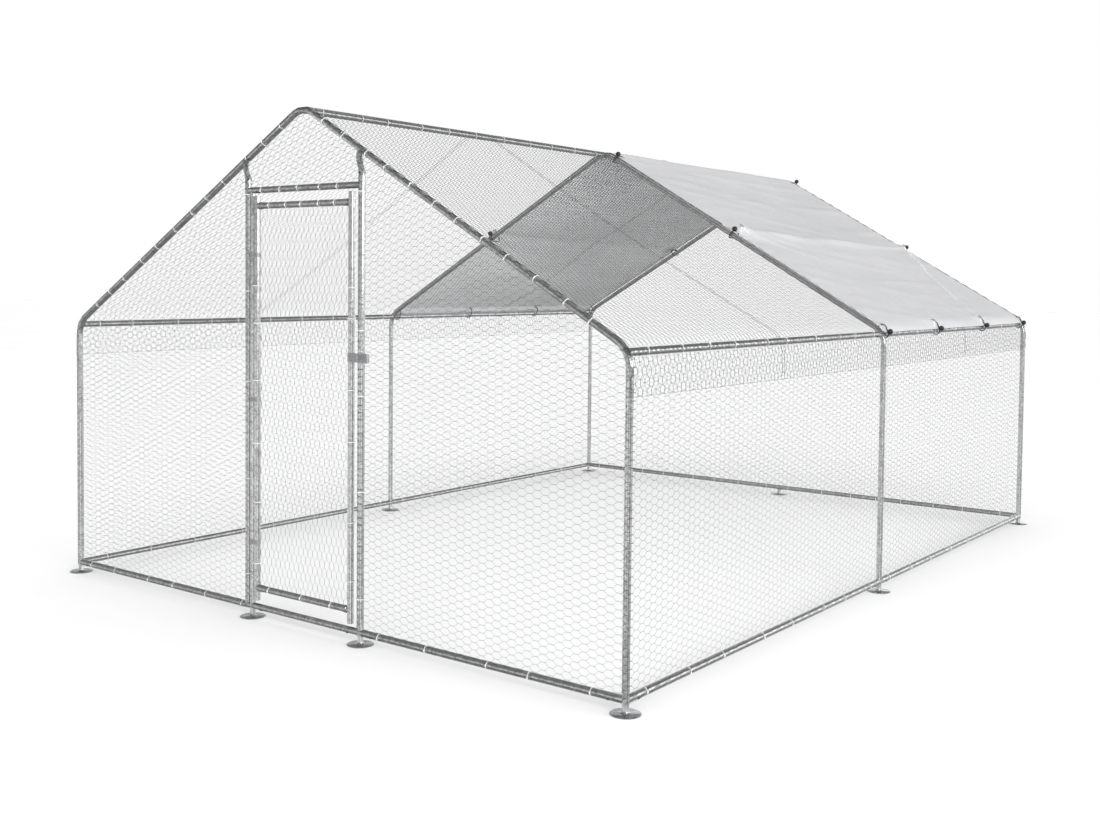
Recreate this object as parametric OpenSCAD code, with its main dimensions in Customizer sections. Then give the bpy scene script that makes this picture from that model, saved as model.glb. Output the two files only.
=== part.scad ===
// Walk-in chicken run: a steel tube frame with hexagonal wire net, a hinged net door with a hasp,
// and a sheet cover held on the rear half of the roof by ball bungees.
// Millimetres, +Z up. The origin is on the ground in the middle of the run, and the door faces -Y.

/* [Run] */
// Distance between the post axes across the front
run_width = 2970; // [2000:10:4000]
// Distance between the post axes from front to rear
run_length = 3970; // [2500:10:6000]
// Height of the ridge tube's axis
ridge_height = 1972; // [1850:1:2400]
// Slope of the roof in degrees
roof_pitch = 30; // [24:0.5:36]
// Height of the bottom rails' axis
sill_height = 45; // [38:1:80]

/* [Tubes] */
// Outside diameter of the frame tubes
tube_d = 25; // [22:0.5:30]
// Wall of the frame tubes
tube_wall = 1; // [0.8:0.1:2]
// Bend radius at the eaves, to the tube's axis
eave_bend_r = 100; // [70:5:180]
// Bend radius at the ridge, to the tube's axis
apex_bend_r = 110; // [70:5:180]
// Swell of the tube's wall in a bend
bend_swell = 0.05; // [0.04:0.01:0.1]
// Length that the straight tubes run into the wall of a bend
lap = 2; // [1:0.1:2.6]
// Straight length of a bent rafter below its bend
eave_leg = 70; // [40:1:150]
// Straight length of each arm of the apex bends
apex_leg = 180; // [120:5:300]
// Length of the reduced ends that push into the next tube
plug_len = 80; // [50:1:150]
// Length of the necked wall inside a tube before its reduced end
neck_len = 8; // [4:0.5:20]
// Wall of the reduced ends and of the stubs
plug_wall = 1.5; // [1:0.1:3]
// Radial slip between a plug or stub and the tube around it
slip = 0.3; // [0.1:0.05:0.5]
// Gap between the end of one tube and the side of the next
fit = 0.3; // [0.1:0.05:0.6]
// Distance from a post's axis to the end of the stub welded on it
stub_reach = 80; // [70:1:140]
// Distance of the joint in the rear bottom rail from the middle
rear_joint = 120; // [80:5:400]

/* [Feet] */
// Diameter of the round base plates
plate_d = 100; // [70:1:160]
// Thickness of the base plates
plate_t = 3; // [2:0.5:6]
// Height of the foot pins inside the posts
pin_top = 110; // [80:1:200]
// Wall of the foot pins
pin_wall = 2; // [1:0.1:4]
// Gap below the bottom rails at which the posts end
post_drop = 2.5; // [0.5:0.5:8]

/* [Screws] */
// Distance from a post's axis to the screws in a rail
screw_at = 60; // [40:1:65]
// Diameter of the screw shanks
screw_d = 4.6; // [3:0.1:6]
// Diameter of the screw heads
screw_head_d = 10; // [7:0.5:11]
// Diameter of the tops of the screw heads
screw_top_d = 7; // [5:0.5:9]
// Length of the screws past the stub's wall
screw_past = 1.5; // [0.5:0.1:4]
// Height of the screw heads
screw_head_h = 3.2; // [2:0.1:5]
// Clearance round a screw shank
screw_clear = 0.3; // [0.1:0.05:0.6]
// Angle of the screws below the outer side of a rail
screw_tilt = 40; // [35:1:60]

/* [Doorway] */
// Distance of the door posts' axes from the middle
post_x = 316; // [280:1:420]
// Distance of the door header's axis below the ridge tube's axis
header_drop = 290; // [270:1:500]
// Diameter of the hinge tube beside the left door post
hinge_d = 22; // [18:0.5:24]
// Distance from the left door post's axis to the hinge tube's axis
hinge_off = 26.5; // [25.5:0.1:32]
// Gap of the door post's top below the rafter's axis
post_top_drop = 8; // [6:0.5:12]

/* [Door] */
// Distance from the hinge tube's axis to the hinge stile's axis
stile_off = 26.5; // [25.5:0.1:32]
// Distance from the right door post's axis to the latch stile's axis
latch_gap = 53; // [48:0.5:58]
// Height of the lower end of the stiles
door_z0 = 70; // [64:1:100]
// Distance of the upper end of the stiles below the header's axis
door_gap = 22; // [18:0.5:60]
// Distance of the bars' axes from the ends of the stiles, at the bottom
bottom_bar_in = 50; // [30:1:120]
// Distance of the bars' axes from the ends of the stiles, at the top
top_bar_in = 39; // [30:1:120]
// Extra diameter of the flared ends of the bars
flare = 4; // [2:0.5:5]
// Length of the flared ends
flare_len = 30; // [20:1:60]
// Height of the hinge bands
band_h = 18; // [10:1:40]
// Sheet thickness of the hinge bands
band_t = 1.5; // [1:0.1:1.7]
// Depth of the hinge bands between the two tubes
band_web = 15; // [8:0.5:20]
// Distance of the hinge bands from the ends of the stiles
band_in = 230; // [120:5:400]
// Running clearance of the hinge bands on the hinge tube
run_fit = 0.05; // [0.02:0.01:0.1]

/* [Latch] */
// Height of the latch's middle
latch_z = 1054; // [800:1:1300]
// Height of the latch plates
latch_h = 33; // [27:1:50]
// Sheet thickness of the latch
latch_t = 2; // [1.5:0.1:2.4]
// Distance of the hasp pin's axis right of the latch stile's axis
pin_right = 18; // [16.5:0.5:21]
// Distance of the hasp pin's axis in front of the latch stile's axis
pin_front = 15; // [14:0.5:18]
// Diameter of the hasp pin
pin_d = 4.4; // [3:0.1:5]
// Diameter of the hasp pin's head
pin_head_d = 7.04; // [6:0.01:9]
// Height of the hasp pin's head
pin_head_h = 1.5; // [1:0.1:3]
// Wall of the knuckles round the hasp pin
knuckle_wall = 2.3; // [1.5:0.1:2.6]
// Gap between one knuckle and the next
knuckle_gap = 0.5; // [0.3:0.05:1]
// Gap between the hasp plate and the clamps behind it
hasp_gap = 1.5; // [1:0.1:3]
// Length of the hasp plate from its pin to its curl
hasp_len = 87; // [75:1:110]
// Inner radius of the hasp's finger curl
curl_r = 6; // [3:0.5:10]
// Thickness of the staple
staple_t = 3; // [2:0.1:4]
// Width of the staple's eye across the door
staple_w = 13; // [12:0.5:15]
// Reach of the staple in front of its clamp
staple_reach = 23; // [19:0.5:28]
// Diameter of the padlock hole in the staple
padlock_d = 7; // [5:0.5:8]
// Clearance of the staple's clamp in the net
notch_clear = 2; // [1:0.5:6]
// Clearance above and below the staple's clamp in the net
notch_over = 3; // [1:0.5:6]
// Clearance of the staple in the hasp's slot
slot_clear = 3; // [2.5:0.1:4]

/* [Net] */
// Thickness of the net
net_t = 1.6; // [1:0.1:2.5]
// Width of the net's strands, drawn as one strand for each bundle of wires
strand = 5; // [3:0.5:12]
// Width of the edge strand of each panel
selvedge = 7; // [5:0.5:16]
// Distance between twisted sides in the wall nets
wall_mesh = 400; // [200:5:500]
// Distance between twisted sides in the roof nets
roof_mesh = 460; // [250:5:550]
// Distance between twisted sides in the door net
door_mesh = 235; // [120:5:300]
// Length of the twisted side as a share of the mesh
twist_share = 0.35; // [0.2:0.01:0.5]
// Length of a slanted side along the twist as a share of the mesh
slant_share = 0.35; // [0.2:0.01:0.5]

/* [Cover] */
// Thickness of the cover
cover_t = 1.2; // [0.5:0.1:2]
// Distance from the rafter's axis to the cover's edge
cover_in = 0; // [0:0.5:26]
// Length of the cover down the eave bend
cover_drop = 60; // [40:1:64]
// Clearance of the cords in the cover's holes
eyelet_clear = 0.7; // [0.4:0.1:2]
// Distance from the cover's edge to the eave holes
eyelet_in = 45; // [30:1:50]

/* [Bungees] */
// Diameter of the bungee cord
cord_d = 5; // [3:0.5:6]
// Clearance of the cord in its ball
cord_clear = 0.3; // [0.2:0.05:0.6]
// Diameter of the bungee balls
ball_d = 25; // [20:0.5:30]
// Straight length of a bungee loop
loop_len = 40; // [36:0.5:60]
// Distance of the corner bungees on the eave rails from the rafter's axis
corner_in = 35; // [30:1:45]
// Place of the middle bungees of the mid rafters as a share of the slope
middle_at = 0.51; // [0.4:0.01:0.6]
// Place of the middle bungees of the rear rafters as a share of the slope
rear_middle_at = 0.47; // [0.4:0.01:0.6]
// Distance of the top bungees below the apex bend's arc
apex_at = 15; // [5:1:60]

/* [Hidden] */
$fn = 64;

steel = [0.62, 0.64, 0.66];
wire = [0.75, 0.76, 0.78];
sheet = [0.88, 0.89, 0.90];
black = [0.06, 0.06, 0.07];

hw = run_width / 2;
hl = run_length / 2;
tube_r = tube_d / 2;
tube_id = tube_d - 2 * tube_wall;
plug_d = tube_id - 2 * slip;
saddle_r = tube_r + fit;
hinge_r = hinge_d / 2;
post_z0 = sill_height - tube_r - post_drop;
header_z = ridge_height - header_drop;
door_z1 = header_z - door_gap;

// The roof's line through the tube axes, from the end of the eave bend up to the start of the apex bend.
bend_a = 90 - roof_pitch;
arc_end_x = hw - eave_bend_r * (1 - cos(bend_a));
apex_x = apex_bend_r * sin(roof_pitch);
apex_z = ridge_height - apex_bend_r * (1 - cos(roof_pitch));
slope_len = (arc_end_x - apex_x) / cos(roof_pitch);
arc_end_z = apex_z - slope_len * sin(roof_pitch);
bend_z = arc_end_z - eave_bend_r * sin(bend_a);
joint_z = bend_z - eave_leg;
eave_x = hw - eave_bend_r * (1 - cos(bend_a / 2));
eave_z = bend_z + eave_bend_r * sin(bend_a / 2);
function roof_z(x) = apex_z - (abs(x) - apex_x) * tan(roof_pitch);

// A straight tube's end clears the outside of a bend by a little more than it clears a straight tube.
function bend_cut(r) = saddle_r + tube_r * tube_r / (2 * r);

// Door
hinge_x = hinge_off - post_x;
stile_l = hinge_x + stile_off;
stile_r = post_x - latch_gap;
bar_low = door_z0 + bottom_bar_in;
bar_top = door_z1 - top_bar_in;
door_net_y = tube_r + flare / 2 + fit;

// Latch
clamp_in = tube_r + run_fit;
clamp_r = clamp_in + latch_t;
pin_x = stile_r + pin_right;
pin_y = -hl - pin_front;
knuckle_r = pin_d / 2 + run_fit + knuckle_wall;
hasp_back = -hl - clamp_r - hasp_gap;
staple_x = post_x - pin_x;

// Straight steps in which the cover goes round a bend.
bend_steps = 5;

// Nets and cover lie one over the other on the outside of the tubes.
net_in = tube_r + fit;
net_out = net_in + net_t;
cover_low = net_out + fit;
cover_high = cover_low + cover_t;
cord_r = cord_d / 2;
loop_r = cover_high + cord_r + fit;
ball_off = cover_high + fit + ball_d / 2;

// The far end of a bungee loop turns down through the cover between these two distances.
hole_near = sqrt(pow(cover_high + fit, 2) - pow(cover_high, 2));
hole_far = sqrt(pow(loop_r + cord_r, 2) - pow(cover_low, 2));
hole_x = loop_len + (hole_near + hole_far) / 2;
eyelet_d = hole_far - hole_near + 2 * eyelet_clear;

module pipe(d, wall, len) {
  difference() {
    cylinder(d = d, h = len);
    translate([0, 0, -1]) cylinder(d = d - 2 * wall, h = len + 2);
  }
}

// A tube of the given length whose far end is reduced to push into the next tube.
module swaged(len) {
  plug_r = plug_d / 2;
  rotate_extrude() polygon([
    [tube_id / 2, 0], [tube_r, 0], [tube_r, len], [plug_r, len], [plug_r, len + plug_len],
    [plug_r - plug_wall, len + plug_len], [plug_r - plug_wall, len - neck_len], [tube_id / 2, len - neck_len]
  ]);
}

// A bent tube is drawn from three pieces, and the straight ones run into the wall of the bend by the lap.
module bend(r, a) {
  difference() {
    rotate_extrude(angle = a) translate([r, 0]) circle(d = tube_d + 2 * bend_swell);
    rotate_extrude(angle = a) translate([r, 0]) circle(d = tube_id - 2 * bend_swell);
  }
}

// Rails are drawn along +X from the axis of one post to the axis of the next.
// A rail is [start, direction, length, cut at start, cut at end, tilt of the cuts, mitre at start,
// mitre at end, screw angle, stub at start, stub at end].
function side_rail(s, k) = [
  [s * hw, (k - 1) * hl, sill_height], 90, hl, saddle_r, saddle_r, 0,
  k == 0 ? s : 0, k == 1 ? s : 0, s * (90 + screw_tilt), true, true
];
function eave_rail(s, k) = [
  [s * eave_x, (k - 1) * hl, eave_z], 90, hl, bend_cut(eave_bend_r), bend_cut(eave_bend_r), -s * bend_a / 2,
  0, 0, s * (90 + screw_tilt), true, true
];
function ridge_rail(k) = [
  [0, (k - 1) * hl, ridge_height], 90, hl, bend_cut(apex_bend_r), bend_cut(apex_bend_r), 90,
  0, 0, 180, true, true
];
SILL_FRONT_LEFT = [
  [-hw, -hl, sill_height], 0, hw + hinge_x, saddle_r, hinge_r + fit, 0, 1, 0, 90 + screw_tilt, true, true
];
SILL_DOOR = [
  [hinge_x, -hl, sill_height], 0, post_x - hinge_x, hinge_r + fit, saddle_r, 0,
  0, 0, 90 + screw_tilt, true, true
];
SILL_FRONT_RIGHT = [
  [post_x, -hl, sill_height], 0, hw - post_x, saddle_r, saddle_r, 0, 0, 1, 90 + screw_tilt, true, true
];
SILL_REAR_LEFT = [
  [-hw, hl, sill_height], 0, hw + rear_joint, saddle_r, 0, 0, -1, 0, -90 - screw_tilt, true, false
];
SILL_REAR_RIGHT = [
  [rear_joint + fit, hl, sill_height], 0, hw - rear_joint - fit, 0, saddle_r, 0,
  0, -1, -90 - screw_tilt, false, true
];
HEADER = [
  [-post_x, -hl, header_z], 0, 2 * post_x, saddle_r, saddle_r, 0, 0, 0, 90 + screw_tilt, true, true
];
RAILS = concat(
  [for (s = [-1, 1]) for (k = [0, 1]) side_rail(s, k)],
  [for (s = [-1, 1]) for (k = [0, 1]) eave_rail(s, k)],
  [for (k = [0, 1]) ridge_rail(k)],
  [SILL_FRONT_LEFT, SILL_DOOR, SILL_FRONT_RIGHT, SILL_REAR_LEFT, SILL_REAR_RIGHT, HEADER]
);

module at_rail(r) {
  translate(r[0]) rotate([0, 0, r[1]]) children();
}

// The children stand at the start of a rail, and mirrored at its end, wherever it sits on a stub.
module rail_ends(r) {
  if (r[9]) at_rail(r) children();
  if (r[10]) at_rail(r) translate([r[2], 0, 0]) mirror([1, 0, 0]) children();
}

module screw_hole(angle) {
  rotate([angle, 0, 0]) translate([screw_at, 0, 0]) cylinder(d = screw_d + 2 * screw_clear, h = tube_d);
}

module end_cut(r, tilt, mitre) {
  span = 3 * tube_d;
  if (r > 0) rotate([tilt, 0, 0]) cylinder(r = r, h = span, center = true);
  if (mitre != 0) {
    mirror([0, mitre < 0 ? 1 : 0, 0]) translate([0, -fit / 2, -span / 2]) rotate([0, 0, 45]) cube(span);
  }
}

module rail_cuts(r) {
  difference() {
    children();
    end_cut(r[3], r[5], r[6]);
    translate([r[2], 0, 0]) mirror([1, 0, 0]) end_cut(r[4], r[5], r[7]);
    if (r[9]) screw_hole(r[8]);
    if (r[10]) translate([r[2], 0, 0]) mirror([1, 0, 0]) screw_hole(r[8]);
  }
}

module rail(r) {
  color(steel) at_rail(r) rail_cuts(r) rotate([0, 90, 0]) pipe(tube_d, tube_wall, r[2]);
}

module post(x, y) {
  color(steel) translate([x, y, post_z0]) pipe(tube_d, tube_wall, joint_z - fit - post_z0);
}

module bent_rafter(s, y) {
  color(steel) translate([0, y, 0]) mirror([s < 0 ? 1 : 0, 0, 0]) translate([hw, 0, bend_z]) union() {
    translate([0, 0, lap]) rotate([0, 180, 0]) swaged(eave_leg + lap);
    translate([-eave_bend_r, 0, 0]) rotate([90, 0, 0]) bend(eave_bend_r, bend_a);
    translate([-eave_bend_r, 0, 0]) rotate([0, -bend_a, 0]) translate([eave_bend_r, 0, -lap])
      pipe(tube_d, tube_wall, slope_len - apex_leg - fit + lap);
  }
}

module apex(y) {
  color(steel) translate([0, y, ridge_height - apex_bend_r]) union() {
    rotate([90, 0, 0]) rotate([0, 0, bend_a]) bend(apex_bend_r, 2 * roof_pitch);
    for (s = [-1, 1])
      rotate([0, s * roof_pitch, 0]) translate([-s * lap, 0, apex_bend_r]) rotate([0, s * 90, 0])
        swaged(apex_leg + lap);
  }
}

module rafter_line(s, y, r) {
  translate([0, y, 0]) mirror([s < 0 ? 1 : 0, 0, 0])
    translate([arc_end_x, 0, arc_end_z]) rotate([0, -bend_a, 0])
      cylinder(r = r, h = slope_len);
}

module post_front_left() post(-hw, -hl);
module post_front_right() post(hw, -hl);
module post_mid_left() post(-hw, 0);
module post_mid_right() post(hw, 0);
module post_rear_left() post(-hw, hl);
module post_rear_right() post(hw, hl);

module rafter_front_left() bent_rafter(-1, -hl);
module rafter_front_right() bent_rafter(1, -hl);
module rafter_mid_left() bent_rafter(-1, 0);
module rafter_mid_right() bent_rafter(1, 0);
module rafter_rear_left() bent_rafter(-1, hl);
module rafter_rear_right() bent_rafter(1, hl);

module apex_front() apex(-hl);
module apex_mid() apex(0);
module apex_rear() apex(hl);

module side_rail_left_front() rail(side_rail(-1, 0));
module side_rail_left_rear() rail(side_rail(-1, 1));
module side_rail_right_front() rail(side_rail(1, 0));
module side_rail_right_rear() rail(side_rail(1, 1));
module eave_rail_left_front() rail(eave_rail(-1, 0));
module eave_rail_left_rear() rail(eave_rail(-1, 1));
module eave_rail_right_front() rail(eave_rail(1, 0));
module eave_rail_right_rear() rail(eave_rail(1, 1));
module ridge_rail_front() rail(ridge_rail(0));
module ridge_rail_rear() rail(ridge_rail(1));
module sill_front_left() rail(SILL_FRONT_LEFT);
module sill_door() rail(SILL_DOOR);
module sill_front_right() rail(SILL_FRONT_RIGHT);
module sill_rear_right() rail(SILL_REAR_RIGHT);
module door_header() rail(HEADER);

module sill_rear_left() {
  r = SILL_REAR_LEFT;
  color(steel) at_rail(r) rail_cuts(r) rotate([0, 90, 0]) swaged(r[2]);
}

module door_post_left() {
  top = roof_z(post_x) - post_top_drop;
  low = sill_height + tube_r / 2;
  color(steel) difference() {
    translate([-post_x, -hl, low]) pipe(tube_d, tube_wall, top - low);
    rafter_line(-1, -hl, saddle_r);
    translate([-post_x, -hl, sill_height]) rotate([0, 90, 0])
      cylinder(r = saddle_r, h = 3 * tube_d, center = true);
  }
}

module door_post_right() {
  color(steel) difference() {
    translate([post_x, -hl, post_z0]) pipe(tube_d, tube_wall, roof_z(post_x) - post_top_drop - post_z0);
    rafter_line(1, -hl, saddle_r);
  }
}

module hinge_tube() {
  top = header_z - tube_r / 2;
  color(steel) difference() {
    translate([hinge_x, -hl, plate_t + fit]) pipe(hinge_d, tube_wall, top - plate_t - fit);
    translate([hinge_x, -hl, header_z]) rotate([0, 90, 0])
      cylinder(r = saddle_r, h = 3 * tube_d, center = true);
  }
}

module foot(top) {
  cylinder(d = plate_d, h = plate_t);
  if (top > 0) translate([0, 0, plate_t]) pipe(plug_d, pin_wall, top - plate_t);
}

module base_feet() {
  rear_top = sill_height - tube_r / 3;
  color(steel) {
    for (x = [-hw, hw]) for (y = [-hl, 0, hl]) translate([x, y, 0]) foot(pin_top);
    translate([post_x, -hl, 0]) foot(pin_top);
    translate([hinge_x, -hl, 0]) foot(0);
    translate([0, hl, 0]) difference() {
      foot(rear_top);
      translate([0, 0, sill_height]) rotate([0, 90, 0]) cylinder(r = saddle_r, h = 3 * tube_d, center = true);
    }
  }
}

module rail_stubs() {
  color(steel) for (r = RAILS) {
    if (r[9]) at_rail(r) stub(r[3], r[8]);
    if (r[10]) at_rail(r) translate([r[2], 0, 0]) mirror([1, 0, 0]) stub(r[4], r[8]);
  }
}

module stub(cut, angle) {
  start = cut + fit;
  difference() {
    translate([start, 0, 0]) rotate([0, 90, 0]) pipe(plug_d, plug_wall, stub_reach - start);
    screw_hole(angle);
  }
}

module frame_screws() {
  tip = plug_d / 2 - plug_wall - screw_past;
  color(steel) for (r = RAILS) rail_ends(r) rotate([r[8], 0, 0]) translate([screw_at, 0, 0]) {
    translate([0, 0, tip]) cylinder(d = screw_d, h = tube_r + fit + screw_head_h / 2 - tip);
    translate([0, 0, tube_r + fit]) cylinder(d1 = screw_head_d, d2 = screw_top_d, h = screw_head_h);
  }
}

// Door leaf
module stile(x) {
  color(steel) translate([x, -hl, door_z0]) pipe(tube_d, tube_wall, door_z1 - door_z0);
}

module door_bar(z) {
  len = stile_r - stile_l;
  color(steel) translate([stile_l, -hl, z]) difference() {
    rotate([0, 90, 0]) union() {
      cylinder(d = tube_d, h = len);
      cylinder(d1 = tube_d + flare, d2 = tube_d, h = flare_len);
      translate([0, 0, len - flare_len]) cylinder(d1 = tube_d, d2 = tube_d + flare, h = flare_len);
    }
    translate([-1, 0, 0]) rotate([0, 90, 0]) cylinder(d = tube_id, h = len + 2);
    for (x = [0, len]) translate([x, 0, 0]) cylinder(r = saddle_r, h = 3 * tube_d, center = true);
  }
}

module door_stile_hinge() stile(stile_l);
module door_stile_latch() stile(stile_r);
module door_top_bar() door_bar(bar_top);
module door_bottom_bar() door_bar(bar_low);

module hinge_bands() {
  color(steel) for (z = [door_z0 + band_in, (door_z0 + door_z1) / 2, door_z1 - band_in]) {
    translate([hinge_x, -hl, z - band_h / 2]) difference() {
      union() {
        cylinder(r = hinge_r + run_fit + band_t, h = band_h);
        translate([stile_off, 0, 0]) cylinder(r = tube_r + run_fit + band_t, h = band_h);
        translate([0, -band_web / 2, 0]) cube([stile_off, band_web, band_h]);
      }
      translate([0, 0, -1]) cylinder(r = hinge_r + run_fit, h = band_h + 2);
      translate([stile_off, 0, -1]) cylinder(r = tube_r + run_fit, h = band_h + 2);
    }
  }
}

// Latch: a clamp on the door's stile carries the hasp, and a clamp on the door post carries the staple.
knuckle_h = (latch_h - 2 * knuckle_gap) / 3;

module latch_clamp() {
  arm = 2 * latch_t;
  color(steel) translate([0, 0, latch_z - latch_h / 2]) difference() {
    union() {
      translate([stile_r, -hl, 0]) cylinder(r = clamp_r, h = latch_h);
      for (z = [0, latch_h - knuckle_h]) translate([0, 0, z]) {
        translate([pin_x, pin_y, 0]) cylinder(r = knuckle_r, h = knuckle_h);
        translate([stile_r, -hl, 0]) rotate([0, 0, atan2(-pin_front, pin_right)])
          translate([0, -arm / 2, 0]) cube([norm([pin_front, pin_right]), arm, knuckle_h]);
      }
    }
    translate([stile_r, -hl, -1]) cylinder(r = clamp_in, h = latch_h + 2);
    translate([pin_x, pin_y, -1]) cylinder(d = pin_d, h = latch_h + 2);
  }
}

module hasp_pin() {
  color(steel) translate([pin_x, pin_y, latch_z - latch_h / 2]) {
    cylinder(d = pin_d, h = latch_h);
    translate([0, 0, latch_h]) cylinder(d = pin_head_d, h = pin_head_h);
  }
}

module hasp() {
  z0 = latch_z - latch_h / 2;
  edge = knuckle_r + knuckle_gap;
  slot_0 = staple_x - staple_w / 2 - slot_clear;
  slot_1 = norm([staple_x + staple_w / 2, staple_reach]) + slot_clear;
  slot_h = staple_t + 2 * slot_clear;
  color(steel) translate([pin_x, 0, z0]) difference() {
    union() {
      translate([0, pin_y, knuckle_h + knuckle_gap]) cylinder(r = knuckle_r, h = knuckle_h);
      translate([0, hasp_back - latch_t, knuckle_h + knuckle_gap]) cube([edge + 1, latch_t, knuckle_h]);
      translate([edge, hasp_back - latch_t, 0]) cube([hasp_len - edge, latch_t, latch_h]);
      translate([hasp_len, hasp_back - latch_t - curl_r, 0]) difference() {
        cylinder(r = curl_r + latch_t, h = latch_h);
        translate([0, 0, -1]) cylinder(r = curl_r, h = latch_h + 2);
        translate([-3 * curl_r, -3 * curl_r, -1]) cube([3 * curl_r, 6 * curl_r, latch_h + 2]);
      }
    }
    translate([0, pin_y, -1]) cylinder(r = pin_d / 2 + run_fit, h = latch_h + 2);
    translate([slot_0, hasp_back - 2 * latch_t, latch_h / 2 - slot_h / 2])
      cube([slot_1 - slot_0, 3 * latch_t, slot_h]);
  }
}

module staple() {
  eye = clamp_r + staple_reach - staple_w / 2;
  color(steel) translate([post_x, -hl, latch_z]) difference() {
    union() {
      translate([0, 0, -latch_h / 2]) cylinder(r = clamp_r, h = latch_h);
      translate([-staple_w / 2, -eye, -staple_t / 2]) cube([staple_w, eye, staple_t]);
      translate([0, -eye, -staple_t / 2]) cylinder(d = staple_w, h = staple_t);
    }
    translate([0, 0, -latch_h / 2 - 1]) cylinder(r = clamp_in, h = latch_h + 2);
    translate([0, -eye, -staple_t]) cylinder(d = padlock_d, h = 2 * staple_t);
  }
}

// Nets are flat panels with six-sided gaps, whose twisted sides run level.
function gap(mesh) = let (t = twist_share * mesh / 2, s = slant_share * mesh, w = strand / 2) [
  [t - w / 2, mesh / 2 - w], [t + s - w, 0], [t - w / 2, w - mesh / 2],
  [w / 2 - t, w - mesh / 2], [w - t - s, 0], [w / 2 - t, mesh / 2 - w]
];

module net(outline, inner, mesh, size) {
  step = (twist_share + slant_share) * mesh;
  across = ceil(size[0] / 2 / step);
  up = ceil(size[1] / mesh);
  difference() {
    linear_extrude(net_t) polygon(outline);
    translate([0, 0, -1]) linear_extrude(net_t + 2) intersection() {
      polygon(inner);
      for (i = [-across:across]) for (j = [0:up]) {
        translate([i * step, (j + (abs(i) % 2) / 2) * mesh]) polygon(gap(mesh));
      }
    }
  }
}

function box_outline(w, z0, z1, b) = [[b - w, z0 + b], [w - b, z0 + b], [w - b, z1 - b], [b - w, z1 - b]];

function gable_outline(b) = let (d = b / cos(roof_pitch)) [
  [b - post_x, header_z + b], [post_x - b, header_z + b], [post_x - b, roof_z(post_x - b) - d],
  [apex_x, apex_z - d], [-apex_x, apex_z - d], [b - post_x, roof_z(post_x - b) - d]
];

function rear_outline(b) = let (d = b / cos(roof_pitch)) [
  [b - hw, sill_height + b], [hw - b, sill_height + b], [hw - b, bend_z - b / 2], [arc_end_x, arc_end_z - d],
  [apex_x, apex_z - d], [-apex_x, apex_z - d], [-arc_end_x, arc_end_z - d], [b - hw, bend_z - b / 2]
];

// The front panels' own X runs from the door post to the corner post.
function front_outline(b) = let (d = b / cos(roof_pitch), x0 = post_x + fit) [
  [x0 + b, sill_height + b], [hw - b, sill_height + b], [hw - b, bend_z - b / 2],
  [arc_end_x, arc_end_z - d], [x0 + b, roof_z(x0 + b) - d]
];

module front_panel() {
  color(wire) translate([0, -hl - net_in, 0]) rotate([90, 0, 0])
    net(front_outline(0), front_outline(selvedge), wall_mesh, [run_width, roof_z(post_x)]);
}

module side_panel() {
  color(wire) translate([hw + net_in, 0, 0]) rotate([90, 0, 90])
    net(box_outline(hl, sill_height, bend_z, 0), box_outline(hl, sill_height, bend_z, selvedge),
      wall_mesh, [run_length, bend_z]);
}

module roof_panel() {
  color(wire) translate([arc_end_x, 0, arc_end_z]) rotate([0, -bend_a, 0])
    translate([net_in, 0, 0]) rotate([90, 0, 90])
      net(box_outline(hl, 0, slope_len, 0), box_outline(hl, 0, slope_len, selvedge),
        roof_mesh, [run_length, slope_len]);
}

module net_front_left() mirror([1, 0, 0]) front_panel();

module net_front_right() {
  // The panel is notched where the staple's clamp goes round the door post.
  notch = 2 * (clamp_r + notch_clear);
  difference() {
    front_panel();
    translate([post_x, -hl, latch_z]) cube([notch, 4 * tube_d, latch_h + 2 * notch_over], center = true);
  }
}

module net_gable() {
  color(wire) translate([0, -hl - net_in, 0]) rotate([90, 0, 0])
    net(gable_outline(0), gable_outline(selvedge), door_mesh, [2 * post_x, apex_z]);
}

module net_left() mirror([1, 0, 0]) side_panel();
module net_right() side_panel();

module net_rear() {
  color(wire) translate([0, hl + net_out, 0]) rotate([90, 0, 0])
    net(rear_outline(0), rear_outline(selvedge), wall_mesh, [run_width, apex_z]);
}

module net_roof_left() mirror([1, 0, 0]) roof_panel();
module net_roof_right() roof_panel();

module door_net() {
  half = (stile_r - stile_l) / 2;
  color(wire) translate([(stile_l + stile_r) / 2, -hl + door_net_y + net_t, 0]) rotate([90, 0, 0])
    net(box_outline(half, bar_low, bar_top, 0), box_outline(half, bar_low, bar_top, selvedge),
      door_mesh, [2 * half, bar_top]);
}

// Bungees: [portal, way to the cover, side, distance up the slope] on the rafters,
// and [side, y] on the eave rails.
RAFTER_BUNGEES = [
  for (p = [[0, 1, middle_at * slope_len], [hl, -1, rear_middle_at * slope_len]])
    for (b = [[-1, p[2]], [1, slope_len - apex_at], [1, p[2]]])
      [p[0], p[1], b[0], b[1]]
];
EAVE_BUNGEES = [for (s = [-1, 1]) for (y = [corner_in, hl / 3, 2 * hl / 3, hl - corner_in]) [s, y]];

// The eave rail's place below and beyond the roof's line, and the way from it
// to the cover's holes round the bend.
rail_u = (arc_end_x - eave_x) * cos(roof_pitch) + (eave_z - arc_end_z) * sin(roof_pitch);
rail_n = (eave_x - arc_end_x) * sin(roof_pitch) + (eave_z - arc_end_z) * cos(roof_pitch);
cover_mid_r = eave_bend_r + (cover_low + cover_high) / 2;
cover_turn = bend_angle(cover_drop);
hole_turn = bend_angle(cover_drop - eyelet_in);
to_hole = [-cover_mid_r * sin(hole_turn) - rail_u, cover_mid_r * cos(hole_turn) - eave_bend_r - rail_n];

// Angle that a length of the cover takes round the eave bend.
function bend_angle(length) = length / (eave_bend_r + cover_low) * 180 / PI;

module on_side(s) {
  mirror([s < 0 ? 1 : 0, 0, 0]) children();
}

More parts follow.
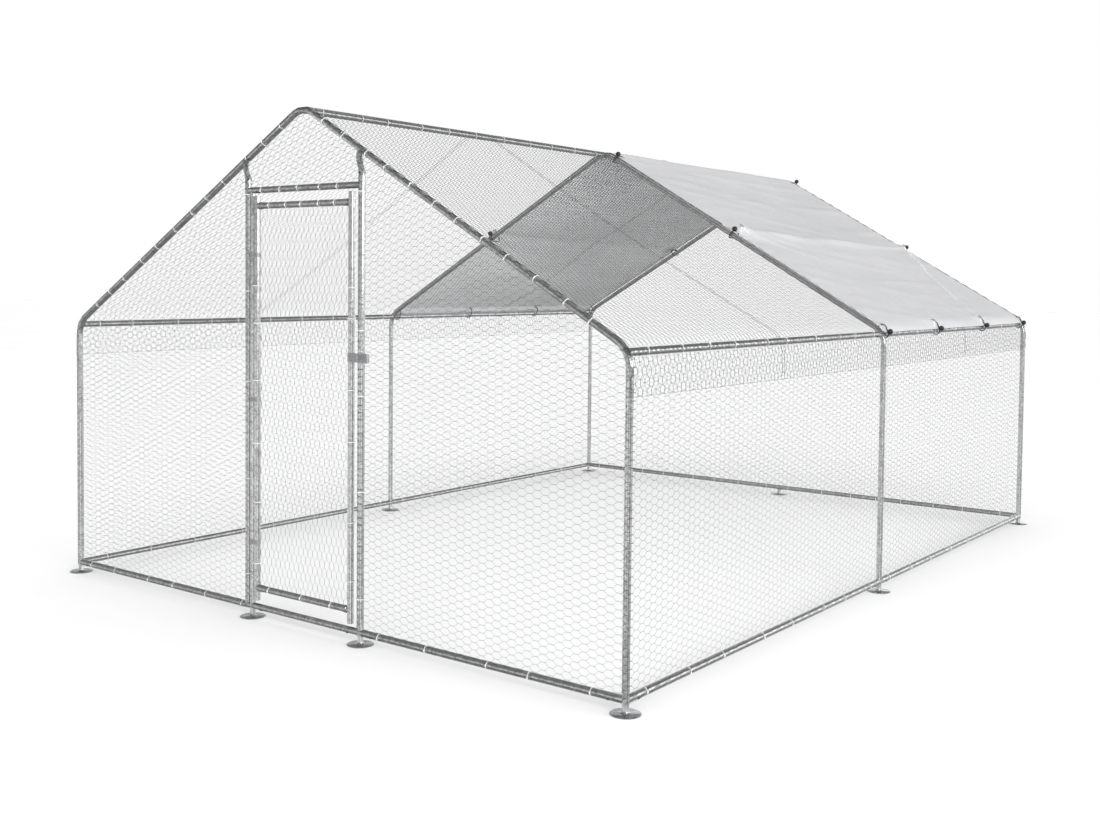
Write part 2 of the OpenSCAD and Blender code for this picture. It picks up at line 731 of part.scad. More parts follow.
// Children's +X runs along the run, toward the cover, and +Y away from the roof.
module at_rafter(b) {
  on_side(b[2]) translate([arc_end_x - b[3] * cos(roof_pitch), b[0], arc_end_z + b[3] * sin(roof_pitch)])
    rotate([0, roof_pitch, 0]) mirror([0, b[1] < 0 ? 1 : 0, 0]) rotate([90, 0, 90]) children();
}

// Children's +X runs from the eave rail to the cover's hole.
module at_eave(e) {
  on_side(e[0]) translate([eave_x, e[1], eave_z]) rotate([0, roof_pitch, 0]) rotate([90, 0, 180])
    rotate([0, 0, atan2(to_hole[1], to_hole[0])]) children();
}

module loop(len, d) {
  for (x = [0, len]) translate([x, 0, 0]) rotate([0, 0, x == 0 ? 90 : -90])
    rotate_extrude(angle = 180) translate([loop_r, 0]) circle(d = d);
  for (y = [-loop_r, loop_r]) translate([0, y, 0]) rotate([0, 90, 0]) cylinder(d = d, h = len);
}

module bungee_cords() {
  color(black) {
    for (b = RAFTER_BUNGEES) at_rafter(b) loop(loop_len, cord_d);
    for (e = EAVE_BUNGEES) at_eave(e) loop(norm(to_hole) - loop_r, cord_d);
  }
}

// The cord runs through a hole along the lower side of the ball.
module ball(off) {
  difference() {
    translate([0, off, 0]) sphere(d = ball_d);
    loop(loop_len, cord_d + 2 * cord_clear);
  }
}

module bungee_balls() {
  color(black) {
    for (b = RAFTER_BUNGEES) at_rafter(b) ball(ball_off);
    for (e = EAVE_BUNGEES) at_eave(e) ball(ball_off);
  }
}

function eave_line(o, side) = let (r = eave_bend_r + o) [
  for (k = [0:bend_steps]) let (a = roof_pitch + cover_turn * (side < 0 ? k : bend_steps - k) / bend_steps)
    [side * (hw - eave_bend_r + r * sin(a)), bend_z + r * cos(a)]
];

function cover_line(o) = let (r = apex_bend_r + o) concat(
  eave_line(o, 1),
  [for (k = [bend_steps:-1:-bend_steps]) let (a = roof_pitch * k / bend_steps)
    [r * sin(a), ridge_height - apex_bend_r + r * cos(a)]],
  eave_line(o, -1)
);

module roof_cover() {
  low = cover_line(cover_low);
  high = cover_line(cover_high);
  last = len(low) - 1;
  color(sheet) difference() {
    translate([0, hl - cover_in, 0]) rotate([90, 0, 0]) linear_extrude(hl - 2 * cover_in)
      polygon(concat(high, [for (i = [last:-1:0]) low[i]]));
    for (b = RAFTER_BUNGEES) at_rafter(b) translate([hole_x, 0, 0]) rotate([-90, 0, 0])
      cylinder(d = eyelet_d, h = 3 * tube_d);
    for (e = EAVE_BUNGEES) at_eave(e) translate([norm(to_hole), 0, 0]) rotate([-90, 0, 0])
      cylinder(d = eyelet_d, h = 3 * tube_d, center = true);
  }
}

post_front_left();
post_front_right();
post_mid_left();
post_mid_right();
post_rear_left();
post_rear_right();
rafter_front_left();
rafter_front_right();
rafter_mid_left();
rafter_mid_right();
rafter_rear_left();
rafter_rear_right();
apex_front();
apex_mid();
apex_rear();
side_rail_left_front();
side_rail_left_rear();
side_rail_right_front();
side_rail_right_rear();
eave_rail_left_front();
eave_rail_left_rear();
eave_rail_right_front();
eave_rail_right_rear();
ridge_rail_front();
ridge_rail_rear();
sill_front_left();
sill_door();
sill_front_right();
sill_rear_left();
sill_rear_right();
door_post_left();
hinge_tube();
door_post_right();
door_header();
base_feet();
rail_stubs();
frame_screws();
staple();
net_front_left();
net_front_right();
net_gable();
net_left();
net_right();
net_rear();
net_roof_left();
net_roof_right();
roof_cover();
bungee_cords();
bungee_balls();
door_stile_hinge();
door_stile_latch();
door_top_bar();
door_bottom_bar();
hinge_bands();
door_net();
latch_clamp();
hasp_pin();
hasp();
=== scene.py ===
"""Looks of the walk-in chicken run: zinc tubes, woven wire, cable ties, sheet cover and ball bungees."""

import math
import bpy
import numpy as np
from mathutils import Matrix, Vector


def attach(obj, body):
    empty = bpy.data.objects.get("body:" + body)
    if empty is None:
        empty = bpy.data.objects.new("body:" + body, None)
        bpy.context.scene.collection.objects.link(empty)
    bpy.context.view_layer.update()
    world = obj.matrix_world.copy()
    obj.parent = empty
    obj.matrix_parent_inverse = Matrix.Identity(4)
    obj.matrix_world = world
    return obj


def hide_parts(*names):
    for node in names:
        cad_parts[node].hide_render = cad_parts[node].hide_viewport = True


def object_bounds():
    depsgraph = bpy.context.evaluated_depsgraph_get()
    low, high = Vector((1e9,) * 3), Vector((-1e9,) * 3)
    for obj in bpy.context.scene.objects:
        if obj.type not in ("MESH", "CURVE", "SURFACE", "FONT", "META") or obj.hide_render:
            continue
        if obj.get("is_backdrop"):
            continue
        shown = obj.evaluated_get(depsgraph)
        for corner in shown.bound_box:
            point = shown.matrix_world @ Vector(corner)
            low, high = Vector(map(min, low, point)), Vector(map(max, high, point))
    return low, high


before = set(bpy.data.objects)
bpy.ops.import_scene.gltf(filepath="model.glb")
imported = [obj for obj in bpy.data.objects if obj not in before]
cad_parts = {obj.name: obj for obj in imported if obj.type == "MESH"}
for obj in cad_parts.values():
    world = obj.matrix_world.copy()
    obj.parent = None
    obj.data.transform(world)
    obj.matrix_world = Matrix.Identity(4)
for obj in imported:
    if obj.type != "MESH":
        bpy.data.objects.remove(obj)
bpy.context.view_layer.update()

# Sizes of the frame in metres, as in the part's source.
HALF_W = 1.485
HALF_L = 1.985
RIDGE = 1.972
PITCH = math.radians(30)
BEND = math.radians(60)
SILL = 0.045
SILL_JOINT = 0.12
TUBE = 0.0125
WALL = 0.001
FIT = 0.0003
SADDLE = TUBE + 0.0008
EAVE_R = 0.100
APEX_R = 0.110
APEX_LEG = 0.180
POST_X = 0.316
HINGE_X = -0.2895
HINGE_R = 0.011
HINGE_LOW = 0.0033
STILE_X = 0.263
HEADER = 1.682
DOOR_LOW = 0.070
DOOR_TOP = 1.660
BAR_LOW = 0.120
BAR_TOP = 1.621
POST_LOW = 0.030
LATCH = 1.054
FRONT = -HALF_L

ARC_X = HALF_W - EAVE_R * (1 - math.cos(BEND))
APEX_X = APEX_R * math.sin(PITCH)
APEX_Z = RIDGE - APEX_R * (1 - math.cos(PITCH))
SLOPE = (ARC_X - APEX_X) / math.cos(PITCH)
ARC_Z = APEX_Z - SLOPE * math.sin(PITCH)
BEND_Z = ARC_Z - EAVE_R * math.sin(BEND)
JOINT = BEND_Z - 0.070
EAVE_X = HALF_W - EAVE_R * (1 - math.cos(BEND / 2))
EAVE_Z = BEND_Z + EAVE_R * math.sin(BEND / 2)
NET = TUBE + 0.0011
HEM_LOW = 1.000

FACETS = 32
CUT_EDGE = 0.0005
BORE_SHOWN = 0.03
END_RUN = 0.04

AX = Vector((1, 0, 0))
AY = Vector((0, 1, 0))
AZ = Vector((0, 0, 1))
rng = np.random.default_rng(7)


def roof_z(x):
    return APEX_Z - (abs(x) - APEX_X) * math.tan(PITCH)


def up_slope(side):
    return Vector((-side * math.cos(PITCH), 0, math.sin(PITCH)))


def off_slope(side):
    return Vector((side * math.sin(PITCH), 0, math.cos(PITCH)))


def smooth(t):
    t = np.clip(t, 0.0, 1.0)
    return t * t * (3 - 2 * t)


scene = bpy.context.scene


def put(name, data):
    thing = bpy.data.objects.new(name, data)
    scene.collection.objects.link(thing)
    return thing


# Materials

def graph(name):
    mat = bpy.data.materials.new(name)
    mat.use_nodes = True
    tree = mat.node_tree
    return mat, tree.nodes["Principled BSDF"], add(tree, "ShaderNodeTexCoord").outputs["Object"]


def add(owner, kind, values=None, **settings):
    """A new node in the tree that the owner is or belongs to."""
    node = owner.id_data.nodes.new(kind)
    for key, value in settings.items():
        setattr(node, key, value)
    for key, value in (values or {}).items():
        node.inputs[key].default_value = value
    return node


def join(source, socket):
    socket.id_data.links.new(source, socket)


def ramp(source, stops):
    node = add(source, "ShaderNodeValToRGB")
    keys = node.color_ramp.elements
    while len(keys) < len(stops):
        keys.new(0.5)
    for key, (at, colour) in zip(keys, stops):
        key.position = at
        key.color = (*colour, 1.0)
    join(source, node.inputs["Fac"])
    return node.outputs["Color"]


def spread(source, low, high, start=0.3, end=0.7):
    node = add(source, "ShaderNodeMapRange", {1: start, 2: end, 3: low, 4: high})
    join(source, node.inputs[0])
    return node.outputs[0]


def bump(bsdf, source, strength, distance):
    node = add(source, "ShaderNodeBump", {"Strength": strength, "Distance": distance})
    join(source, node.inputs["Height"])
    join(node.outputs["Normal"], bsdf.inputs["Normal"])


def coat(bsdf, source, tones, rough_source, rough):
    join(ramp(source, tones), bsdf.inputs["Base Color"])
    join(spread(rough_source, *rough), bsdf.inputs["Roughness"])


def noise_of(place, scale, detail=4.0, rough=0.6, stretch=None):
    node = add(place, "ShaderNodeTexNoise", {"Scale": scale, "Detail": detail, "Roughness": rough})
    if stretch:
        turn = add(place, "ShaderNodeMapping", {"Scale": stretch})
        join(place, turn.inputs["Vector"])
        place = turn.outputs["Vector"]
    join(place, node.inputs["Vector"])
    return node.outputs[0]


def zinc(name, tones, rough, mottle=26.0, flake=150.0, relief=0.00025):
    """Hot zinc on steel: soft blotches, small crystal flakes and a fine orange peel."""
    mat, bsdf, place = graph(name)
    cells = add(place, "ShaderNodeTexVoronoi", {"Scale": flake})
    join(place, cells.inputs["Vector"])
    grey = add(place, "ShaderNodeSeparateColor")
    join(cells.outputs["Color"], grey.inputs[0])
    mix = add(place, "ShaderNodeMath", {1: 0.35}, operation="MULTIPLY_ADD")
    join(grey.outputs[0], mix.inputs[0])
    share = add(place, "ShaderNodeMath", {1: 0.65}, operation="MULTIPLY")
    join(noise_of(place, mottle, 6.0, 0.66), share.inputs[0])
    join(share.outputs[0], mix.inputs[2])
    coat(bsdf, mix.outputs[0], tones, noise_of(place, 70.0), rough)
    bsdf.inputs["Metallic"].default_value = 1.0
    bump(bsdf, noise_of(place, 420.0, 3.0), 0.35, relief)
    return mat


def plastic(name, low, high, rough, scale, relief, sheen=0.0):
    mat, bsdf, place = graph(name)
    coat(bsdf, noise_of(place, scale), [(0.3, low), (0.7, high)], noise_of(place, scale * 3), rough)
    bsdf.inputs["Sheen Weight"].default_value = sheen
    bump(bsdf, noise_of(place, scale * 8, 2.0), 0.3, relief)
    return mat


def tarp(name, low, high, rough):
    """Coated woven sheet: flat tapes crossing under a thin film, with faint handling marks."""
    mat, bsdf, place = graph(name)
    marks = noise_of(place, 5.0, 6.0, 0.7, (1.0, 0.35, 1.0))
    coat(bsdf, marks, [(0.25, low), (0.75, high)], noise_of(place, 14.0), rough)
    weave = add(place, "ShaderNodeMath", operation="MULTIPLY")
    for k, axis in enumerate("YX"):
        wave = add(place, "ShaderNodeTexWave", {"Scale": 130.0, "Distortion": 0.6}, bands_direction=axis)
        join(place, wave.inputs["Vector"])
        join(wave.outputs[1], weave.inputs[k])
    bump(bsdf, weave.outputs[0], 0.25, 0.0002)
    return mat


ZINC = zinc("zinc_tube", [(0.25, (0.42, 0.425, 0.43)), (0.5, (0.60, 0.605, 0.61)),
                          (0.75, (0.78, 0.785, 0.79))], (0.11, 0.24))
ZINC_PLATE = zinc("zinc_plate", [(0.25, (0.46, 0.46, 0.47)), (0.8, (0.72, 0.73, 0.74))],
                  (0.16, 0.30), 18.0, 90.0)
WIRE = zinc("zinc_wire", [(0.2, (0.17, 0.175, 0.18)), (0.8, (0.31, 0.315, 0.32))],
            (0.34, 0.55), 40.0, 300.0, 0.0001)
# A darker copy of the wire, for wires over the posts and under the cover: painted shade.
SHADE_PAINTED_WIRE = zinc("wire_painted_shade", [(0.2, (0.05, 0.051, 0.052)), (0.8, (0.13, 0.132, 0.134))],
                 (0.5, 0.7), 40.0, 300.0, 0.0001)
LATCH_METAL = zinc("zinc_latch", [(0.2, (0.36, 0.36, 0.37)), (0.8, (0.60, 0.61, 0.62))],
                   (0.38, 0.58), 60.0, 260.0)
SCREW = zinc("zinc_screw", [(0.2, (0.12, 0.12, 0.13)), (0.8, (0.34, 0.34, 0.36))], (0.3, 0.5), 90.0, 300.0)
LUG_METAL = zinc("pressed_zinc", [(0.3, (0.10, 0.102, 0.104)), (0.5, (0.34, 0.345, 0.35)),
                                  (0.7, (0.66, 0.665, 0.67))], (0.3, 0.5), 110.0, 240.0)
EYELET = zinc("aluminium_eyelet", [(0.2, (0.55, 0.55, 0.56)), (0.8, (0.80, 0.80, 0.81))],
              (0.2, 0.35), 80.0, 400.0)
NYLON = plastic("nylon_tie", (0.66, 0.67, 0.66), (0.76, 0.76, 0.75), (0.28, 0.42), 160.0, 0.00005)
CORD = plastic("bungee_sleeve", (0.012, 0.012, 0.013), (0.035, 0.035, 0.037), (0.55, 0.8), 420.0, 0.0004, 0.3)
BALL = plastic("bungee_ball", (0.010, 0.010, 0.011), (0.022, 0.022, 0.024), (0.22, 0.4), 120.0, 0.00005)
# The underside's colour is lighter than the top's: painted light that lifts the shade under the cover.
SHEET_TOP = tarp("cover_top", (0.43, 0.432, 0.440), (0.48, 0.482, 0.490), (0.38, 0.58))
SHEET_LOW = tarp("cover_underside", (0.66, 0.665, 0.67), (0.82, 0.825, 0.83), (0.5, 0.7))


# Shapes

class Shape:
    def __init__(self):
        self.verts = []
        self.faces = []
        self.mats = []

    def quad(self, *corners, mat=0):
        self.faces.append(corners)
        self.mats.append(mat)

    def ring(self, centre, x, y, rx, ry, sides):
        start = len(self.verts)
        for k in range(sides):
            a = 2 * math.pi * k / sides
            self.verts.append(centre + x * (rx * math.cos(a)) + y * (ry * math.sin(a)))
        return start

    def bridge(self, a, b, sides, mat=0):
        for k in range(sides):
            j = (k + 1) % sides
            self.quad(a + k, a + j, b + j, b + k, mat=mat)

    def box(self, centre, x, y, z):
        """x, y and z are the half edges of a right-handed box."""
        start = len(self.verts)
        for c in (-1, 1):
            for b in (-1, 1):
                for a in (-1, 1):
                    self.verts.append(centre + x * a + y * b + z * c)
        for face in ((0, 2, 3, 1), (4, 5, 7, 6), (0, 1, 5, 4), (2, 6, 7, 3), (0, 4, 6, 2), (1, 3, 7, 5)):
            self.quad(*[start + k for k in face])


def link(name, mesh, mats, body, nodes=()):
    for mat in mats:
        mesh.materials.append(mat)
    piece = put(name, mesh)
    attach(piece, body)
    if nodes:
        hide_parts(*nodes)
    return piece


def build(name, shape, mats, body="frame", nodes=(), sharp=38):
    mesh = bpy.data.meshes.new(name)
    mesh.from_pydata([tuple(v) for v in shape.verts], [], shape.faces)
    mesh.polygons.foreach_set("material_index", shape.mats)
    mesh.shade_smooth()
    mesh.set_sharp_from_angle(angle=math.radians(sharp))
    return link(name, mesh, mats, body, nodes)


def stations(points, radius, lips=(True, True)):
    """Rings along a path as (place, direction, radius); a lip turns a cut end into the bore."""
    last = len(points) - 1
    ways = [(points[min(k + 1, last)] - points[max(k - 1, 0)]).normalized() for k in range(last + 1)]
    rings = [(p, w, radius) for p, w in zip(points, ways)]
    bore = radius - WALL
    for end, lip in enumerate(lips):
        if lip:
            p, w, r = rings[-end]
            inward = w if end == 0 else -w
            turn = [(p + inward * BORE_SHOWN, w, bore), (p, w, bore), (p, w, r - CUT_EDGE),
                    (p + inward * CUT_EDGE, w, r)]
            rings = turn + rings[1:] if end == 0 else rings[:-1] + turn[::-1]
    return rings


def sweep(shape, rings, sides=FACETS, side=None, closed=False, caps=False):
    x = side or rings[0][1].orthogonal().normalized()
    starts = []
    for place, way, radius in rings:
        if side is None:
            x = (x - way * x.dot(way)).normalized()
        starts.append(shape.ring(place, x, way.cross(x), radius, radius, sides))
    for a, b in zip(starts, starts[1:]):
        shape.bridge(a, b, sides)
    if closed:
        shape.bridge(starts[-1], starts[0], sides)
    if caps:
        shape.quad(*reversed(range(starts[0], starts[0] + sides)))
        shape.quad(*range(starts[-1], starts[-1] + sides))


def lathe(shape, origin, axis, profile, sides=FACETS, caps=True):
    sweep(shape, [(origin + axis * h, axis, r) for r, h in profile], sides, caps=caps)


def cut_depth(offset, way, cut):
    """How far from the crossing axis a tube's wall ends where it is notched round another tube."""
    across, radius, mitre = cut
    h = offset.dot(way.cross(across).normalized())
    depth = math.sqrt(max(radius * radius - h * h, 0.0))
    return max(depth, offset.dot(mitre)) if mitre else depth


def notched(shape, a, b, radius, cut_a, cut_b):
    """A straight tube from axis to axis; an end without a cut is square and shows its bore."""
    way = (b - a).normalized()
    x = way.orthogonal().normalized()
    y = way.cross(x)
    points = [a, a + way * END_RUN, b - way * END_RUN, b]
    rings = stations(points, radius, (cut_a is None, cut_b is None))
    starts = []
    for k, (place, _, r) in enumerate(rings):
        start = shape.ring(place, x, y, r, r, FACETS)
        starts.append(start)
        for cut, hit, sign in ((cut_a, k == 0, 1), (cut_b, k == len(rings) - 1, -1)):
            if cut and hit:
                for n in range(start, start + FACETS):
                    offset = shape.verts[n] - place
                    shape.verts[n] = shape.verts[n] + way * (sign * cut_depth(offset, way, cut))
    for p, q in zip(starts, starts[1:]):
        shape.bridge(p, q, FACETS)


def build_tube(name, shape, body="frame", mats=(ZINC,)):
    build(name + "_tube", shape, mats, body, [name])


def tube(name, a, b, cut_a=None, cut_b=None, radius=TUBE, body="frame"):
    shape = Shape()
    notched(shape, Vector(a), Vector(b), radius, cut_a, cut_b)
    build_tube(name, shape, body)


def bent_tube(name, path):
    shape = Shape()
    sweep(shape, stations(path, TUBE), side=AY)
    build_tube(name, shape)


def round_post(radius=TUBE, mitre=None, across=AZ):
    """The cut that fits a tube's end to another tube."""
    return (across, radius + FIT, mitre)


# Frame tubes

def bend_points(count):
    """The right eave bend from its post up, seen from the front."""
    turns = [BEND * k / count for k in range(count + 1)]
    return [(HALF_W - EAVE_R * (1 - math.cos(a)), BEND_Z + EAVE_R * math.sin(a)) for a in turns]


def apex_points(count):
    """The apex bend from right to left, seen from the front."""
    turns = [PITCH * (1 - 2 * k / count) for k in range(count + 1)]
    return [(APEX_R * math.sin(a), RIDGE - APEX_R * (1 - math.cos(a))) for a in turns]


def bent_path(side, y):
    points = [Vector((side * HALF_W, y, JOINT)), Vector((side * HALF_W, y, BEND_Z - 0.01))]
    points += [Vector((side * x, y, z)) for x, z in bend_points(12)]
    up = up_slope(side)
    return points + [points[-1] + up * 0.01, points[-1] + up * (SLOPE - APEX_LEG - FIT)]


def apex_path(y):
    points = [Vector((x, y, z)) for x, z in reversed(apex_points(16))]
    left, right = -up_slope(-1), -up_slope(1)
    head = [points[0] + left * APEX_LEG, points[0] + left * 0.01]
    return head + points + [points[-1] + right * 0.01, points[-1] + right * APEX_LEG]


SIDES = (("left", -1), ("right", 1))
for word, y in (("front", -HALF_L), ("mid", 0.0), ("rear", HALF_L)):
    for hand, s in SIDES:
        tube(f"post_{word}_{hand}", (s * HALF_W, y, POST_LOW), (s * HALF_W, y, JOINT - FIT))
        bent_tube(f"rafter_{word}_{hand}", bent_path(s, y))
    bent_tube(f"apex_{word}", apex_path(y))


def bay(x, y, z):
    """Ends of a rail along one half of the run."""
    return (x, y, z), (x, y + HALF_L, z)


def upright(x, low, high):
    """Ends of an upright in the front."""
    return (x, FRONT, low), (x, FRONT, high)


def cross(left, right, y, z):
    """Ends of a rail across the run."""
    return (left, y, z), (right, y, z)


HALVES = (("front", -HALF_L), ("rear", 0.0))
for hand, s in SIDES:
    lean = Vector((-s * math.sin(BEND / 2), 0, math.cos(BEND / 2)))
    inward = -s * AX
    cut = round_post(SADDLE, across=lean)
    for word, y in HALVES:
        cuts = [round_post(mitre=inward if y < 0 else None), round_post(mitre=inward if y == 0 else None)]
        tube(f"side_rail_{hand}_{word}", *bay(s * HALF_W, y, SILL), *cuts)
        tube(f"eave_rail_{hand}_{word}", *bay(s * EAVE_X, y, EAVE_Z), cut, cut)
cut = round_post(SADDLE, across=AX)
for word, y in HALVES:
    tube(f"ridge_rail_{word}", *bay(0, y, RIDGE), cut, cut)

tube("sill_front_left", *cross(-HALF_W, HINGE_X, FRONT, SILL), round_post(mitre=AY), round_post(HINGE_R))
tube("sill_door", *cross(HINGE_X, POST_X, FRONT, SILL), round_post(HINGE_R), round_post())
tube("sill_front_right", *cross(POST_X, HALF_W, FRONT, SILL), round_post(), round_post(mitre=AY))
tube("sill_rear_left", *cross(-HALF_W, SILL_JOINT, HALF_L, SILL), round_post(mitre=-AY))
tube("sill_rear_right", *cross(SILL_JOINT + FIT, HALF_W, HALF_L, SILL), None, round_post(mitre=-AY))
tube("door_header", *cross(-POST_X, POST_X, FRONT, HEADER), round_post(), round_post())

LUG_NECK = 0.085
LUG_WIDE = 0.0160
LUG_THICK = 0.0022
LUG_OUT = TUBE + LUG_THICK + 0.0006
LUG_PRESS = 0.62 * LUG_NECK
LUG_STEPS = 18


def door_post(name, x, low, cut_low):
    """The top is pressed flat, bent forward and lapped on the front of the rafter, with a round end."""
    shape = Shape()
    top = roof_z(x)
    neck = top - LUG_NECK
    notched(shape, Vector((x, FRONT, low)), Vector((x, FRONT, neck)), TUBE, cut_low, None)
    rings = []
    for k in range(LUG_STEPS + 1):
        z = neck + (LUG_NECK - 0.02 * LUG_WIDE) * k / LUG_STEPS
        press = float(smooth((z - neck) / LUG_PRESS))
        tip = math.sqrt(1 - (max(0.0, z - top + LUG_WIDE) / LUG_WIDE) ** 2)
        wide = (TUBE + (LUG_WIDE - TUBE) * press) * tip
        thick = TUBE + (LUG_THICK - TUBE) * press
        rings.append(shape.ring(Vector((x, FRONT - LUG_OUT * press, z)), AX, AY, wide, thick, FACETS))
    for p, q in zip(rings, rings[1:]):
        shape.bridge(p, q, FACETS, mat=1)
    shape.quad(*range(rings[-1], rings[-1] + FACETS), mat=1)
    build_tube(name, shape, mats=(ZINC, LUG_METAL))


door_post("door_post_left", -POST_X, SILL, round_post(across=AX))
door_post("door_post_right", POST_X, POST_LOW, None)
tube("hinge_tube", *upright(HINGE_X, HINGE_LOW, HEADER), None, round_post(across=AX), HINGE_R)

# Feet: round plates with a pressed collar and a pin
feet = Shape()
PLATE = [(0.0485, 0.0), (0.05, 0.0006), (0.05, 0.0024), (0.0488, 0.003), (0.018, 0.003), (0.0146, 0.0042),
         (0.0122, 0.0072)]
PIN_R = 0.0112
PIN_LOW = 0.011
PIN_TOP = 0.11


def foot(x, y, *pin):
    lathe(feet, Vector((x, y, 0)), AZ, PLATE + [(PIN_R, z) for z in pin], 40)


for x in (-HALF_W, HALF_W):
    for y in (-HALF_L, 0.0, HALF_L):
        foot(x, y, PIN_LOW, PIN_TOP)
foot(POST_X, FRONT, PIN_LOW, PIN_TOP)
foot(HINGE_X, FRONT, 0.009)
foot(0, HALF_L, PIN_LOW, 0.0335)
build("base_feet_plates", feet, [ZINC_PLATE], "frame", ["base_feet"])

# Rail screws: washer heads on the lower outer side of each rail end
screws = Shape()
LOW_OUT = Vector((0, math.sin(math.radians(130)), math.cos(math.radians(130))))
SCREW_IN = 0.06
WASHER = [(0.005, 0.0), (0.005, 0.0006), (0.0036, 0.0012)]
HEX_HEAD = [(0.0036, 0.0), (0.0036, 0.0019), (0.0031, 0.0024)]


def screw(place, way):
    lathe(screws, place + way * TUBE, way, WASHER, 20)
    lathe(screws, place + way * (TUBE + 0.001), way, HEX_HEAD, 6)


def rail_screws(a, b, way, ends=(True, True)):
    a, b = Vector(a), Vector(b)
    along = (b - a).normalized()
    if ends[0]:
        screw(a + along * SCREW_IN, way)
    if ends[1]:
        screw(b - along * SCREW_IN, way)


for s in (-1, 1):
    way = Vector((s * LOW_OUT.y, 0, LOW_OUT.z))
    for y in (-HALF_L, 0.0):
        rail_screws(*bay(s * HALF_W, y, SILL), way)
        rail_screws(*bay(s * EAVE_X, y, EAVE_Z), way)
for y in (-HALF_L, 0.0):
    rail_screws(*bay(0, y, RIDGE), -AZ)
way = Vector((0, -LOW_OUT.y, LOW_OUT.z))
for a, b in ((-HALF_W, HINGE_X), (HINGE_X, POST_X), (POST_X, HALF_W)):
    rail_screws(*cross(a, b, FRONT, SILL), way)
rail_screws(*cross(-POST_X, POST_X, FRONT, HEADER), way)
rail_screws(*cross(-HALF_W, SILL_JOINT, HALF_L, SILL), LOW_OUT, (True, False))
rail_screws(*cross(SILL_JOINT, HALF_W, HALF_L, SILL), LOW_OUT, (False, True))
build("frame_screws_heads", screws, [SCREW], "frame", ["frame_screws"], 25)

# Door
COLLAR = [(0.0134, 0.0), (0.0145, 0.0008), (0.0142, 0.010), (0.0130, 0.026), (TUBE, 0.030)]
tube("door_stile_hinge", *upright(-STILE_X, DOOR_LOW, DOOR_TOP), body="door")
tube("door_stile_latch", *upright(STILE_X, DOOR_LOW, DOOR_TOP), body="door")
for name, z in (("door_bottom_bar", BAR_LOW), ("door_top_bar", BAR_TOP)):
    shape = Shape()
    a, b = (Vector(end) for end in cross(-STILE_X, STILE_X, FRONT, z))
    notched(shape, a, b, TUBE, round_post(), round_post())
    for s in (-1, 1):
        start = Vector((s * (STILE_X - TUBE - 0.0006), FRONT, z))
        lathe(shape, start, -s * AX, COLLAR, caps=False)
    build_tube(name, shape, "door")


def band(shape, centre, axis, inner, outer, half, sides=40):
    """A flat ring with its four faces."""
    x = axis.orthogonal().normalized()
    y = axis.cross(x)
    rings = []
    for r, h in ((outer, -half), (outer, half), (inner, half), (inner, -half)):
        rings.append(shape.ring(centre + axis * h, x, y, r, r, sides))
    for a, b in zip(rings, rings[1:] + rings[:1]):
        shape.bridge(a, b, sides)


STRAP = 0.0015
STRAP_HALF = 0.009
STRAP_GAP = 0.00005
STRAP_IN = 0.23
shape = Shape()
for z in (DOOR_LOW + STRAP_IN, (DOOR_LOW + DOOR_TOP) / 2, DOOR_TOP - STRAP_IN):
    for x, radius in ((HINGE_X, HINGE_R + STRAP_GAP), (-STILE_X, TUBE + STRAP_GAP)):
        band(shape, Vector((x, FRONT, z)), AZ, radius, radius + STRAP, STRAP_HALF)
    for s in (-1, 1):
        middle = Vector(((HINGE_X - STILE_X) / 2 - 0.0007, FRONT + s * 0.0068, z))
        shape.box(middle, AX * 0.0062, AY * (STRAP / 2), AZ * STRAP_HALF)
build("hinge_bands_straps", shape, [LATCH_METAL], "door", ["hinge_bands"])

for name in ("latch_clamp", "hasp_pin", "hasp", "staple"):
    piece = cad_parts[name]
    piece.data.materials.clear()
    piece.data.materials.append(LATCH_METAL)
    piece.data.shade_smooth()
    piece.data.set_sharp_from_angle(angle=math.radians(30))
    soft_edge = piece.modifiers.new("soft_edge", "BEVEL")
    soft_edge.width = 0.0003
    soft_edge.segments = 2
    soft_edge.limit_method = "ANGLE"
    soft_edge.angle_limit = math.radians(50)
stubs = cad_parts["rail_stubs"]
stubs.data.materials.clear()
stubs.data.materials.append(ZINC)


# Nets: wires are laid out on the flat panel, cut to its outline and set on the frame, with their edges
# round the tubes. Sizes of the mesh and radii of the wires:
MESH = 0.026
PERIOD = 0.065
TWIST = 0.017
TURNS = 0.75
THIN = 0.00045
THICK = 0.00051
DOUBLED = 1.6
POST_SHARE = 0.6
UPRIGHT = 0.7
SHORTEST = 0.0015
ROUND = NET * 0.95


def wobble(p):
    """Small uneven shifts of the mesh, the same for every wire that meets at a point."""
    u, v = p[:, 0], p[:, 1]
    du = 0.0016 * np.sin(5.1 * u + 3.3 * v + 0.4) + 0.0009 * np.sin(13.0 * v - 7.0 * u + 1.0)
    dv = 0.0016 * np.sin(4.3 * v - 4.7 * u + 2.0) + 0.0009 * np.sin(11.0 * u + 9.0 * v)
    key = np.sin(np.round(u * 2000) * 12.9898 + np.round(v * 2000) * 78.233) * 43758.5453
    grain = key - np.floor(key) - 0.5
    return p + np.stack([du + 0.0010 * grain, dv - 0.0008 * grain], 1)


